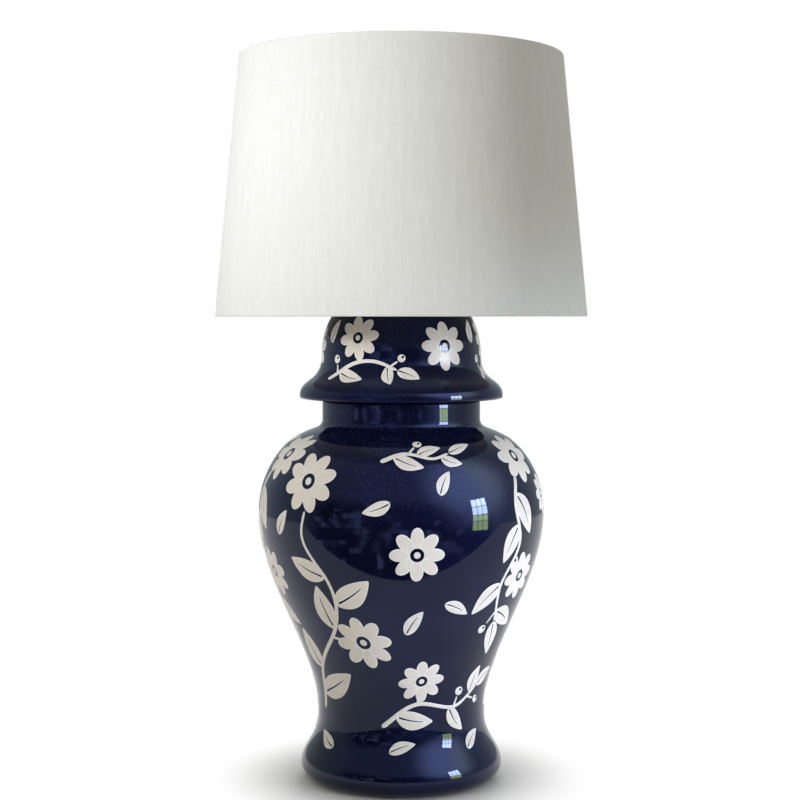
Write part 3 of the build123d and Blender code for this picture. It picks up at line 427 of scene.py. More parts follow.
# jar
jar = {
    "felt": 1.5, "footRadius": 104.0, "footCorner": 16.0, "landWidth": 9.0,
    "waist": (86.2, 71.0), "belly": (146.9, 277.0), "shoulderHeight": 363.2, "shoulderSlope": 20.0,
    "neckRadius": 81.2, "neckFillet": 6.0, "neckTop": 393.0, "lip": 4.0, "innerLip": 1.2, "wall": 7.0,
    "floorUnder": 34.0, "floorTop": 42.0, "floorFillet": 14.0, "pipeHole": 6.2,
    "footToWaist": [(0.52, 0.41), (0.96, 0.78)],
    "waistToBelly": [(0.012, 0.075), (0.146, 0.228), (0.484, 0.474), (0.819, 0.718)],
    "bellyToShoulder": [(0.050, 0.285), (0.218, 0.572), (0.571, 0.856)],
    "outletHeight": 17.5, "outletRadius": 6.35, "outletDepth": 96.0, "drillHalf": 30.0, "weld": 0.005,
    "segments": 240,
}
cobalt = {
    "dark": "#0a0b1d", "light": "#111535", "speck": "#5d6bb0", "skinTint": "#ccd8ff", "specular": 0.37,
    "roughness": 0.03, "uneven": (1.0, 1.8), "cloudSpan": (0.32, 0.68), "speckGap": 1.3 * mm,
    "speckRim": (0.26, 0.12), "speckStrength": (0.12, 0.75), "waveHeight": 0.07 * mm,
}
jarGlaze = glazeFinish("cobaltGlaze", {**cobalt, "cloudSize": 90 * mm, "waveSize": 26 * mm, "speckShare": 0.5,
                                       "speckHeights": (0.24, 0.35)})


def jarSideLine():
    foot = (jar["footRadius"], jar["felt"] + jar["footCorner"])
    shoulder = (jar["neckRadius"] + jar["neckFillet"], jar["shoulderHeight"])
    slope = radians(jar["shoulderSlope"])
    knots = [foot, *sharesBetween(foot, jar["waist"], jar["footToWaist"]), jar["waist"],
             *sharesBetween(jar["waist"], jar["belly"], jar["waistToBelly"]), jar["belly"],
             *sharesBetween(jar["belly"], shoulder, jar["bellyToShoulder"]), shoulder]
    return throughPoints(knots, (0, 1), (-cos(slope), sin(slope)), 2.6)


def jarSection():
    side = jarSideLine()
    felt, corner, wall, lip, hole = (jar[key] for key in ("felt", "footCorner", "wall", "lip", "pipeHole"))
    neck, top, shoulder, under, floor = (
        jar[key] for key in ("neckRadius", "neckTop", "shoulderHeight", "floorUnder", "floorTop"))
    land, bore, turnIn = jar["footRadius"] - corner, neck - wall, corner - wall
    slope = radians(jar["shoulderSlope"])
    fillet = jar["neckFillet"] / (1 - sin(slope))
    neckFoot = shoulder + fillet * cos(slope)
    inner = insideOf(side, wall)
    height = inner[:, 1]
    recess = inner[(height > felt + corner) & (height < under)]
    cavity = inner[(height > floor + jar["floorFillet"]) & (height < shoulder - wall)]
    return joined(
        arc((land, felt + corner), corner, -90, 0, 15),
        side,
        arc((neck + fillet, neckFoot), fillet, 270 - jar["shoulderSlope"], 180, 9),
        straight((neck, neckFoot), (neck, top - lip), 4),
        arc((neck - lip, top - lip), lip, 0, 90, 9),
        (bore + jar["innerLip"], top), (bore, top - jar["innerLip"]), (bore, shoulder),
        cavity[::-3], cavity[0], (cavity[0][0] - jar["floorFillet"], floor), (hole, floor),
        (hole, under), (recess[-1][0], under), recess[::-2], recess[0],
        (recess[0][0] - turnIn * 0.3, felt + corner - turnIn * 0.72), (recess[0][0] - turnIn, recess[0][1] - turnIn),
        (land - jar["landWidth"], felt), (land, felt),
    )[:-1]


jarBody = turnedPiece("jarGlazed", jarSection(), jar["segments"], jarGlaze)
# the cord outlet is drilled through the back of the foot, and the drill's slivers are welded away
reach = jar["drillHalf"]
drillSection = np.array([(0.01, -reach), (jar["outletRadius"], -reach), (jar["outletRadius"], reach), (0.01, reach)])
drill = turnedPiece("drill", drillSection, 32, jarGlaze)
for vertex in drill.data.vertices:
    x, y, z = vertex.co
    vertex.co = (x, jar["outletDepth"] * mm + z, jar["outletHeight"] * mm - y)
cut = jarBody.modifiers.new("outlet", "BOOLEAN")
cut.operation, cut.solver, cut.object = "DIFFERENCE", "EXACT", drill
jarBody.data = evaluatedMesh(jarBody)
jarBody.modifiers.clear()
dropObject(drill)
cleaned = bmesh.new()
cleaned.from_mesh(jarBody.data)
bmesh.ops.remove_doubles(cleaned, verts=cleaned.verts, dist=jar["weld"] * mm)
bmesh.ops.dissolve_degenerate(cleaned, dist=jar["weld"] * mm, edges=cleaned.edges)
cleaned.to_mesh(jarBody.data)
cleaned.free()
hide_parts("jar_body")
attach(jarBody, "base")
print("jar turned:", len(jarBody.data.polygons), "faces")

# lid
lid = {
    "rimRadius": 104.5, "rimCorner": 2.5, "rimWidest": 397.5, "domeRadius": 81.6, "domeFoot": 438.0, "top": 512.0,
    "land": 16.0, "wall": 6.0, "skirtRadius": 73.4, "skirtFoot": 381.0, "grooveMargin": 4.8, "grooveHeight": 14.0,
    "rimToDome": [(0.247, 0.269), (0.59, 0.422), (0.86, 0.62)], "segments": 200,
}
lidGlaze = glazeFinish("cobaltGlazeLid", {**cobalt, "cloudSize": 70 * mm, "waveSize": 24 * mm, "speckShare": 0.4,
                                          "speckHeights": (0.38, 0.52)})


def lidCrown(inset, start, end, count):
    turns = np.radians(np.linspace(start, end, count))
    run, rise = lid["domeRadius"] - lid["land"] - inset, lid["top"] - lid["domeFoot"] - inset
    return np.stack([lid["land"] + run * np.cos(turns), lid["domeFoot"] + rise * np.sin(turns)], axis=1)


def lidSideLine():
    rim, dome = (lid["rimRadius"], lid["rimWidest"]), (lid["domeRadius"], lid["domeFoot"])
    flare = throughPoints([rim, *sharesBetween(rim, dome, lid["rimToDome"]), dome], (0, 1), (0, 1), 1.6)
    return joined(flare, lidCrown(0, 0, 90, 44))


def lidSection():
    top, wall, neckTop, rim = lid["top"], lid["wall"], jar["neckTop"], lid["rimRadius"]
    skirt, skirtFoot, corner, groove = lid["skirtRadius"], lid["skirtFoot"], lid["rimCorner"], lid["grooveHeight"]
    inner = jar["neckRadius"] + lid["grooveMargin"] / 4
    outer = rim - lid["grooveMargin"]
    return joined(
        straight((outer, neckTop), (rim - corner, neckTop), 1),
        arc((rim - corner, neckTop + corner), corner, -90, 0, 7),
        lidSideLine(), (jar["pipeHole"], top), (jar["pipeHole"], top - wall), lidCrown(wall, 90, 0, 24),
        (skirt - wall, neckTop), (skirt - wall, skirtFoot), (skirt, skirtFoot), (skirt, neckTop), (inner, neckTop),
        (inner, neckTop + groove), (inner + (outer - inner) * 0.4, neckTop + groove),
        (outer, neckTop + groove * 0.3), (outer, neckTop),
    )[:-1]


jarLid = turnedPiece("lidGlazed", lidSection(), lid["segments"], lidGlaze)
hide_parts("jar_lid")
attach(jarLid, "base")
print("lid turned:", len(jarLid.data.polygons), "faces")

# white enamel leaves and daisies, drawn flat in millimetres: a shape is an outer line and its cut-outs
leafForm = {"skew": 0.84, "fullness": 0.78, "root": 1.06, "narrowing": 0.2, "vein": (0.10, 0.74),
            "veinHalf": 0.021, "veinNarrowing": 0.75}


def leafShape(length, width, bend):
    def side(t, half):
        return np.stack([t * length, bend * np.sin(pi * t) + half], axis=1)

    t = np.linspace(0, 1, max(9, int(length / 1.6)))
    half = (width / 2 * np.sin(pi * t ** leafForm["skew"]) ** leafForm["fullness"]
            * (leafForm["root"] - leafForm["narrowing"] * t))
    start, end = leafForm["vein"]
    s = np.linspace(start, end, max(6, int(length / 3)))
    slit = leafForm["veinHalf"] * length * (1 - leafForm["veinNarrowing"] * (s - start) / (end - start))
    return (np.concatenate([side(t, half), side(t, -half)[-2:0:-1]]),
            [np.concatenate([side(s, slit), side(s, -slit)[::-1]])])


def turned2d(points, angle):
    c, s = cos(angle), sin(angle)
    return np.asarray(points) @ np.array([[c, s], [-s, c]])


def roundShape(radius, x=0.0, y=0.0, squeeze=1.0, turn=0.0):
    count = max(10, int(tau * radius / 1.5))
    angles = np.linspace(0, tau, count, endpoint=False)
    return turned2d(np.stack([radius * np.cos(angles), radius * squeeze * np.sin(angles)], axis=1), turn) + (x, y)


def moved(shapes, x, y, angle=0.0):
    return [(turned2d(outer, angle) + (x, y), [turned2d(hole, angle) + (x, y) for hole in holes])
            for outer, holes in shapes]


daisyForm = {"petals": 8, "petalCentre": 0.63, "petal": 0.37, "squeeze": 0.66, "ring": (0.37, 0.25), "eye": 0.125}


def daisy(radius, turn=0.0):
    # round petals, a blue ring and a white eye
    shapes = []
    for i in range(daisyForm["petals"]):
        angle = turn + i * tau / daisyForm["petals"]
        out = daisyForm["petalCentre"] * radius
        petal = roundShape(daisyForm["petal"] * radius, out * cos(angle), out * sin(angle),
                           daisyForm["squeeze"], angle)
        shapes.append((petal, []))
    outer, inner = (roundShape(share * radius) for share in daisyForm["ring"])
    return shapes + [(outer, [inner]), (roundShape(daisyForm["eye"] * radius), [])]


def bud(radius, x, y, angle):
    # round berry in a small cup
    cup = turned2d([(-radius * 1.9, -0.7), (-radius * 1.2, -1.1), (-radius * 1.2, 1.1), (-radius * 1.9, 0.7)], angle)
    return [(roundShape(radius, x, y), [roundShape(radius * 0.3, x + radius * 0.3, y + radius * 0.3)]),
            (cup + (x, y), [])]


def stemShape(line, thick, thin):
    # a brushed line with rounded ends
    side, runs = leftOf(np.gradient(line, axis=0)), lengthsAlong(line)
    nearEnd = np.clip(np.minimum(runs, runs[-1] - runs) / thick, 0, 1)
    half = (np.linspace(thick, thin, len(line)) / 2 * np.sqrt(0.06 + 0.94 * nearEnd * (2 - nearEnd)))[:, None]
    return np.concatenate([line + side * half, (line - side * half)[::-1]]), []


sprig = {
    "stem": (5.0, 3.0), "daisyStalk": (3.2, 2.8), "berryStalk": (2.6, 2.2), "daisyOverlap": 0.92, "daisyRoom": 3.5,
    "leafShrink": 0.26, "leafVary": 0.08, "lean": 52, "leanFall": 14, "leanVary": 6, "leafBend": 2.0,
    "leafSpots": ((0.35, 0.5), (0.7, 0.5), (1.0, 0.3)), "lastLeaf": (0.8, 0.76, 0.8), "berryRoom": 1,
}


def spray(knots, leaf, gap, daisies=(), berries=(), flip=1):
    # a stem through knots with leaves on alternate sides; daisies and berries sit at shares of its length
    knots = np.array(knots, float)
    start, end = knots[1] - knots[0], knots[-1] - knots[-2]
    line = throughPoints(knots, start / np.linalg.norm(start), end / np.linalg.norm(end), 2.2)
    runs = lengthsAlong(line)
    whole = runs[-1]

    def outFrom(share, lean, reach):
        # a point of the stem, the point that a stalk reaches from it, and the stalk's direction
        where = share * whole
        i = int(np.clip(np.searchsorted(runs, where), 1, len(line) - 1))
        step = (where - runs[i - 1]) / (runs[i] - runs[i - 1])
        way = line[i] - line[i - 1]
        x, y = line[i - 1] + way * step
        angle = atan2(way[1], way[0]) + lean
        return (x, y), (x + reach * cos(angle), y + reach * sin(angle)), angle

    shapes = [stemShape(line, *sprig["stem"])]
    taken = []
    for share, reach, lean, radius in daisies:
        foot, head, _ = outFrom(share, radians(lean), reach + sprig["daisyOverlap"] * radius)
        if reach > 1:
            shapes.append(stemShape(np.linspace(foot, head, 12)[:9], *sprig["daisyStalk"]))
        shapes += moved(daisy(radius, 0.3 * share), *head)
        taken.append((head, radius + sprig["daisyRoom"]))
    count = int(whole / gap)
    for i in range(count):
        share = (i + 0.6) / count
        side = flip * (1 if i % 2 else -1)
        vary, sway = sprig["leafVary"] * sin(5.1 * i), sprig["leanVary"] * sin(3.7 * i)
        length = leaf[0] * (1 - sprig["leafShrink"] * share + vary)
        lean = side * radians(sprig["lean"] - sprig["leanFall"] * share + sway)
        spots = [outFrom(share, lean, along * length)[1] for along, _ in sprig["leafSpots"]]
        if share < 0.96 and all(dist(spot, head) > reach for spot in spots for head, reach in taken):
            foot, _, way = outFrom(share, lean, length)
            width = length * leaf[1] / leaf[0]
            shapes += moved([leafShape(length, width, side * sprig["leafBend"])], *foot, way)
            taken += [(spot, width * size) for spot, (_, size) in zip(spots, sprig["leafSpots"])]
    if not any(share > 0.95 for share, *_ in daisies):
        foot, _, way = outFrom(1.0, 0, 1)
        long, wide, bend = sprig["lastLeaf"]
        shapes += moved([leafShape(leaf[0] * long, leaf[1] * wide, bend)], *foot, way)
    for share, reach, lean, radius in berries:
        foot, end, angle = outFrom(share, radians(lean), reach)
        centre = (end[0] + radius * cos(angle), end[1] + radius * sin(angle))
        if all(dist(centre, head) > radius + size + sprig["berryRoom"] for head, size in taken):
            shapes.append(stemShape(np.linspace(foot, end, 6), *sprig["berryStalk"]))
            shapes += bud(radius, *centre, angle)
    return shapes


def depthIn(points, loop):
    # how far inside a closed line each point lies, negative outside
    start, end = loop, np.roll(loop, -1, axis=0)
    way = end - start
    rel = points[:, None] - start[None]
    share = np.clip((rel * way).sum(-1) / np.maximum((way * way).sum(-1), 1e-12), 0, 1)
    away = np.sqrt(((rel - share[..., None] * way) ** 2).sum(-1)).min(axis=1)
    above = (start[None, :, 1] > points[:, None, 1]) != (end[None, :, 1] > points[:, None, 1])
    slope = way[:, 0] / np.where(np.abs(way[:, 1]) < 1e-12, 1e-12, way[:, 1])
    meets = start[None, :, 0] + (points[:, None, 1] - start[None, :, 1]) * slope
    inside = (above & (points[:, None, 0] < meets)).sum(axis=1) % 2 == 1
    return np.where(inside, away, -away)


def depthInShapes(points, shapes, near=2.5, farOut=-9.0):
    # only points near a shape are measured; the others count as far out
    depth = np.full(len(points), farOut)
    for outer, holes in shapes:
        low, high = outer.min(axis=0) - near, outer.max(axis=0) + near
        close = np.nonzero(((points > low) & (points < high)).all(axis=1))[0]
        if not len(close):
            continue
        own = depthIn(points[close], outer)
        for hole in holes:
            own = np.minimum(own, -depthIn(points[close], hole))
        depth[close] = np.maximum(depth[close], own)
    return depth


enamel = {"lift": 0.20, "ridge": 0.08, "sink": 0.08, "back": 0.22, "bevel": 0.45, "ridgeWidth": 1.2, "cell": 4.0,
          "cellMargin": 1.0, "slack": 0.12, "weld": 0.02, "smallest": 1e-5}


def filledShapes(shapes):
    # triangles inside the shapes, with rows of points near the rims so that the enamel stands up roundly
    loops = [loop for outer, holes in shapes for loop in [outer, *holes]]
    points, edges = [], []
    for loop in loops:
        first = len(points)
        points += [tuple(p) for p in loop]
        edges += [(first + i, first + (i + 1) % len(loop)) for i in range(len(loop))]
    extra = []
    for loop in loops:
        side = leftOf(np.roll(loop, -1, axis=0) - np.roll(loop, 1, axis=0))
        for reach in (enamel["bevel"], enamel["ridgeWidth"]):
            for sign in (1, -1):
                spots = loop + sign * reach * side
                extra.append(spots[np.abs(depthInShapes(spots, shapes) - reach) < enamel["slack"] * reach])
    everything = np.array(points)
    low, high = everything.min(axis=0), everything.max(axis=0)
    columns, rows = np.meshgrid(*(np.arange(low[i], high[i], enamel["cell"]) for i in (0, 1)))
    grid = np.stack([columns.ravel(), rows.ravel()], axis=1)
    extra.append(grid[depthInShapes(grid, shapes) > enamel["ridgeWidth"] + enamel["cellMargin"]])
    points += [tuple(p) for part in extra for p in part]
    places, _, triangles, *_ = delaunay_2d_cdt([Vector(p) for p in points], edges, [], 0, enamel["weld"], False)
    places = np.array([tuple(p) for p in places])
    triangles = np.array([t for t in triangles if len(t) == 3])
    kept = triangles[depthInShapes(places[triangles].mean(axis=1), shapes) > 0]
    used, kept = np.unique(kept, return_inverse=True)
    places, kept = places[used], kept.reshape(-1, 3)
    a, b, c = (places[kept[:, i]] for i in range(3))
    area = (b[:, 0] - a[:, 0]) * (c[:, 1] - a[:, 1]) - (b[:, 1] - a[:, 1]) * (c[:, 0] - a[:, 0])
    kept[area < 0] = kept[area < 0][:, ::-1]
    return places, kept[np.abs(area) > enamel["smallest"]], np.maximum(depthInShapes(places, shapes), 0)


def softStep(x):
    x = np.clip(x, 0, 1)
    return x * x * (3 - 2 * x)


def rimSteps(triangles):
    # the edges that only one triangle has, in the direction of that triangle
    steps = np.concatenate([triangles[:, [0, 1]], triangles[:, [1, 2]], triangles[:, [2, 0]]])
    _, first, seen = np.unique(np.sort(steps, axis=1), axis=0, return_index=True, return_counts=True)
    return steps[first[seen == 1]]


def driftLeaf(length, tilt):
    return moved([leafShape(length, length * 0.46, 1.5)], 0, 0, radians(tilt))


def enamelPiece(name, outline, groups, finish):
    # groups: degrees from the front, height in mm on the outline, and shapes or a drifting leaf's length and tilt
    runs = lengthsAlong(outline)
    corners, faces, centres, depths = [], [], [], []
    for angle, height, *what in groups:
        places, triangles, depth = filledShapes(what[0] if len(what) == 1 else driftLeaf(*what))
        rise = softStep(depth / enamel["bevel"])
        ridge = enamel["ridge"] * rise * (1 - softStep((depth - enamel["bevel"]) / enamel["ridgeWidth"]))
        lift = (enamel["lift"] + enamel["sink"]) * rise - enamel["sink"] + ridge
        level = np.interp(height, outline[:, 1], runs)
        # a back inside the glaze closes each piece: the same triangles turned over, and a wall along the rims
        first, count = len(corners), len(places)
        rims = rimSteps(triangles) + first
        faces += (triangles + first).tolist() + (triangles[:, ::-1] + first + count).tolist()
        faces += [(b, a, a + count, b + count) for a, b in rims.tolist()]
        for out in (lift, np.full(count, -enamel["back"])):
            corners += np.stack([places[:, 0], places[:, 1] + level, out], axis=1).tolist()
            depths += depth.tolist()
        centres += [radians(angle)] * 2 * count
    flat = meshObject(name + "Flat", np.array(corners) * mm, faces=faces)
    return laidPiece(name, flat, outline, {"centre": centres, "depth": depths}, finish)


# edge is the painted highlight colour along each rim, and rim the depths in mm over which it fades into the body
whiteEnamel = enamelFinish("whiteOverglaze", {
    "thin": "#e6dbcd", "thick": "#f1e8de", "edge": "#f6f1ea", "rim": (1.44, 0.54),
    "roughness": 0.34, "uneven": (-0.06, 0.1), "strokeSize": 7 * mm, "strokeHeight": 0.2 * mm,
})

climbing = spray([(-40, -122), (-30, -74), (4, -26), (10, 30), (-14, 76), (-10, 98)], (54, 27), 29,
                 daisies=[(0.40, 8, -58, 29), (1.0, 0, 14, 32)],
                 berries=[(0.10, 18, -66, 5.6), (0.17, 17, 64, 5.0), (0.62, 19, -50, 5.4), (0.72, 19, 56, 5.0)])
hanging = spray([(16, 60), (6, 30), (14, -6), (-2, -46), (6, -92)], (50, 25), 29,
                daisies=[(0.0, 0, 160, 30), (0.52, 6, 60, 26)],
                berries=[(0.3, 18, -60, 5.4), (0.82, 17, 58, 5.0), (0.92, 18, -48, 4.8)], flip=-1)
lowSprig = spray([(-56, -22), (-20, 2), (20, -4), (50, 14)], (40, 20), 25,
                 daisies=[(0.36, 4, 78, 23)], berries=[(0.70, 12, 66, 4.8), (0.86, 12, -56, 4.2)])
shoulderSprig = spray([(-34, -6), (-8, 4), (20, -2), (34, 4)], (34, 17), 22,
                      berries=[(0.42, 12, 64, 4.6), (0.8, 12, -60, 4.2)])

jarGroups = [
    (-36, 194, climbing), (48, 262, hanging), (24, 92, lowSprig), (6, 342, shoulderSprig), (104, 192, climbing),
    (176, 260, hanging), (157, 90, lowSprig), (134, 342, shoulderSprig), (-128, 196, climbing),
    (-80, 264, hanging), (-93, 93, daisy(22)), (-108, 347, shoulderSprig), (6, 250, daisy(27)),
    (2, 168, 32, 58), (19, 200, 30, -28), (-4, 300, 30, 200), (-8, 46, 28, 18), (-48, 44, 29, 150),
    (46, 44, 28, 36), (78, 298, daisy(21)), (-154, 298, daisy(20)), (146, 180, 32, 40), (-158, 232, 30, -60),
    (136, 256, daisy(25)), (100, 44, 28, 12), (-140, 44, 28, 160), (190, 44, 28, 75), (86, 345, 26, 30),
    (-56, 262, 30, 60), (15, 306, 28, 64), (-114, 62, 28, 22), (-88, 52, 27, 140),
]
jarArt = enamelPiece("jarEnamel", jarSideLine(), jarGroups, whiteEnamel)
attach(jarArt, "base")

lidSprig = spray([(-44, -18), (-14, 0), (14, 2), (34, -6)], (34, 17), 22,
                 daisies=[(0.5, 3, 84, 23)], berries=[(0.16, 11, 70, 4.4), (0.9, 10, 62, 4.0)])
lidGroups = [(angle + turn, *what) for turn in (0, 120, 240) for angle, *what in (
    (-26, 430, lidSprig), (32, 448, daisy(25)), (60, 450, 26, 78), (66, 484, 24, 140), (4, 480, 24, 20),
    (-46, 490, 22, 80))]
lidArt = enamelPiece("lidEnamel", lidSideLine(), lidGroups, whiteEnamel)
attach(lidArt, "base")
print("enamel laid:", len(jarArt.data.polygons), "and", len(lidArt.data.polygons), "faces")

# felt under the foot
felt = {"inner": 79.8, "outer": 87.2, "height": 1.5, "edge": 0.35, "segments": 180}
feltFinish = mouldedFinish("pressedWoolFelt", "#17181c", "#26282e", 0.95, 3, 0.6, 0.2)
inner, outer, height, edge, _ = felt.values()
feltSection = joined(
    straight((inner + edge, 0), (outer - edge, 0), 1.2), arc((outer - edge, edge), edge, -90, 0, 5),
    (outer, height), (inner, height), arc((inner + edge, edge), edge, 180, 270, 5))[:-1]
feltRing = turnedPiece("footFelt", feltSection, felt["segments"], feltFinish)
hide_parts("foot_felt")
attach(feltRing, "base")

# shade: linen on styrene, rolled over a wire ring at each edge
shade = {"bottomRadius": 190.5, "topRadius": 165.1, "bottom": 477.0, "top": 741.0, "linen": 0.7, "backing": 1.4,
         "ring": 1.4, "hem": 9.0, "roundRing": 6.0, "roll": 0.9, "lapWidth": 13.0, "lapLift": 0.55, "lapBack": 0.35,
         "lapRows": 90, "segments": 220}
linen = linenFinish("bleachedLinen", {
    "shade": "#eae9e3", "light": "#f5f4f0", "threadGap": (0.95 * mm, 0.85 * mm), "slub": 16 * mm, "band": (6, 4),
    "warpShare": 1.5, "bandShare": 1.2, "toneSpan": (1.25, 2.45), "threadHeight": 0.06 * mm,
})


def shadeRadius(z):
    fall = (shade["topRadius"] - shade["bottomRadius"]) * (z - shade["bottom"])
    return shade["bottomRadius"] + fall / (shade["top"] - shade["bottom"])


def rolledEdge(edgeHeight, towards):
    # (inset, depth) from the outside, round the ring, up inside to the hem's raw edge, and back along the styrene
    cloth, roll, backing, hem = shade["linen"], shade["roll"], shade["backing"], shade["hem"]
    deep = backing + 2 * shade["ring"] + 0.05
    outside = [(0.0, roll * 1.6), (roll * 0.1, roll), (roll * 0.35, roll * 0.42), (roll, 0.0)]
    under = [(deep * 0.5, 0.0), (deep - 0.6, 0.0), (deep + 0.2, roll * 0.35), (deep + 0.5, roll * 1.2)]
    inside = [(deep + 0.5, 3.6), (backing + 0.5, hem - 2.4), (backing + 0.5, hem), (backing, hem)]
    back = [(deep, 3.5), (deep, cloth + 0.2), (cloth, cloth)]
    heights = [(inset, edgeHeight + towards * depth) for inset, depth in outside + under + inside + back]
    return [(shadeRadius(z) - inset, z) for inset, z in heights]


def shadeSection():
    # up the outside, round the top hem, down the inside and round the bottom hem
    low, high = rolledEdge(shade["bottom"], 1), rolledEdge(shade["top"], -1)
    return joined(straight(low[0], high[0], 12), high, straight(high[-1], low[-1], 12), low[::-1])[:-1]


linenShade = turnedPiece("linenShade", shadeSection(), shade["segments"], linen, clothRadius=0.178, sharpAngle=60)


def lapStrip():
    # the cloth's end is folded under and glued down the back, a strip that stands a little proud
    half, lift, back = shade["lapWidth"] / 2, shade["lapLift"], -shade["lapBack"]
    profile = [(-half - 0.5, -0.05), (-half, lift * 0.7), (-half + 0.7, lift), (half - 1.2, lift * 0.85),
               (half + 0.2, lift * 0.4), (half + 1.8, -0.05), (half + 1.8, back), (-half - 0.5, back)]
    ends = (shade["bottom"] + 1.4, shade["top"] - 1.4)
    line = np.array([(shadeRadius(z), z) for z in np.linspace(*ends, 60)])
    rows, wide = shade["lapRows"], len(profile)
    points = [(x, y, z) for y in np.linspace(0.0, lengthsAlong(line)[-1], rows) for x, z in profile]
    caps = [range(wide)[::-1], range(len(points) - wide, len(points))]
    flat = meshObject("lapFlat", np.array(points) * mm, faces=ringFaces(rows, wide) + [list(cap) for cap in caps])
    cloth = flat.data.uv_layers.new(name="clothMap")
    for loop in flat.data.loops:
        x, y, _ = flat.data.vertices[loop.vertex_index].co
        cloth.data[loop.index].uv = (x + 3.1, y)  # threads of its own
    return laidPiece("shadeLap", flat, line, {"centre": [pi] * len(points)}, linen)


lap = lapStrip()
# the linen laid flat is a fan with a hem along both edges, cut from a sheet as wide and as tall as the fan
for piece in (linenShade, lap):
    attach(piece, "shade")
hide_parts("shade_fabric")

# finishes of the pieces that keep their own shape, by slot
metals = {  # name, dull and bright colour, roughness, grain across and along the axis, stain size
    # zinc-plated steel, barrel polished: cool grey with cloudy spangle
    "zinc_steel": ("zincPlatedSteel", "#9a9c9e", "#c4c6c8", 0.36, (3, 3), 4),
    # brass-plated steel, satin: warm and soft
    "satin_brass": ("satinBrass", "#b08a4e", "#d2ad6c", 0.3, (9, 0.5), 14),
    # drawn brass shell, lacquered: brighter, with rings from the spinning
    "socket_brass": ("lacqueredBrass", "#b08a4e", "#d2ad6c", 0.22, (20, 0.35), 14),
    # bare aluminium, pressed: pale grey, softly streaked
    "bare_aluminium": ("pressedAluminium", "#b4b5b6", "#d2d3d4", 0.34, (6, 0.4), 5),
    # nickel-plated wire: warm grey, bright and even
    "ring_wire": ("nickelWire", "#a8a49c", "#cdc9c0", 0.28, (4, 4), 8),
}
mouldings = {  # name, dark and light colour, roughness, mottle size, skin size and height
    # natural rubber, moulded: matt black with a dusty bloom
    "black_rubber": ("blackRubber", "#131314", "#232325", 0.62, 6, 0.5, 0.04),
    # vulcanised paper fibre: grey-brown card
    "fibre": ("vulcanisedFibre", "#5d5144", "#7a6c5a", 0.8, 2.5, 0.4, 0.03),
    # phenolic resin, compression moulded: near black with a waxy shine
    "phenolic": ("phenolicResin", "#17120f", "#231b16", 0.32, 9, 1.2, 0.01),
    # vitrite, the black glass in a bulb's cap: deep and shiny
    "black_glass": ("blackVitrite", "#0b0a10", "#15131c", 0.12, 4, 2, 0.01),
    # styrene film, calendered: white and slightly glossy, faintly streaked
    "styrene": ("whiteStyrene", "#e6e5e0", "#f1f0ec", 0.42, 40, 3, 0.03),
}
bulbGlass = {"shade": "#e9e9e6", "light": "#f4f4f2", "powderSize": 9 * mm, "uneven": (0.35, 0.5)}


def frostedGlass():
    # bulb of soda-lime glass, coated inside with white powder: milky, smooth outside
    material, tree = newMaterial("frostedBulb", {"Roughness": 0.16, "Transmission Weight": 0.25, "Coat Weight": 0.6,
                                                 "Coat Roughness": 0.04})
    powder = noise(tree, objectPlace(tree), bulbGlass["powderSize"], 3.0)
    return driven(material, {
        "Base Color": blend(tree, powder, bulbGlass["shade"], bulbGlass["light"]),
        "Roughness": remapped(tree, powder, (0, 1), bulbGlass["uneven"])})


finishes = {"glazed_body": jarGlaze, "glazed_lid": lidGlaze, "felt": feltFinish, "linen": linen,
            "frosted_glass": frostedGlass()}
finishes.update((slot, brushedMetal(*row)) for slot, row in metals.items())
finishes.update((slot, mouldedFinish(*row)) for slot, row in mouldings.items())
for part in frame["record"]["subparts"]:
    obj = nodes[part["node"]]
    obj.data.materials.clear()
    obj.data.materials.append(finishes[part["material_slot"]])
print("finishes given to", len(nodes), "nodes")

# floor, light and camera
studio = {
    "floorSize": 30.0, "nearWhite": 0.08, "farWhite": 0.20, "floorColour": "#f4f4f3", "fill": 0.38,
    "fillTint": "#f6f4e6",
    "key": {"place": (-1.82, -1.50, 1.1), "aim": (0, 0, 0.63), "size": (0.8, 0.6), "power": 1.46, "spread": 24,
            "colour": "#f6f9ff"},
    "side": {"place": (1.5, -1.0, 0.24), "aim": (0, 0, 0.2), "size": (0.3, 0.3), "power": 0.52, "spread": 20,
             "colour": "#d8e6ff"},
    "back": {"place": (0.3, 2.4, 1.3), "aim": (0, 0, 0.4), "size": (1.4, 1.0), "power": 11.0, "spread": 120,
             "colour": "#ffffff"},
}
# the room as the glaze sees it, by compass angle from the front and by height angle, in degrees
room = {
    "radius": 2.6, "turns": 48, "rises": 14, "eyeHeight": 0.3, "tableEdge": 0.37, "floorHeight": 0.002,
    "wall": 0.62, "dark": 0.02, "front": (84, 60), "ceiling": (26, 9), "sideTint": "#d3e2e6", "frontTint": "#c3d1ff",
    "patch": (0.21, 0.15), "gap": 0.008, "gapBlur": 0.6, "contrast": 2.2, "lumpSize": 0.25, "lumps": (0.44, 0.56),
    "furniture": 1.6, "glow": 3.8, "glowPlace": (60, 30), "glowSpread": 26, "glowFall": 4.0,
}


def seenDirectly(tree):
    # camera, mirror and glass rays, which see the white surroundings; the others light the object
    rays = addNode(tree, "ShaderNodeLightPath")
    seen = maths(tree, "MAXIMUM", rays["Is Camera Ray"], rays["Is Glossy Ray"])
    return maths(tree, "MAXIMUM", seen, rays["Is Transmission Ray"])


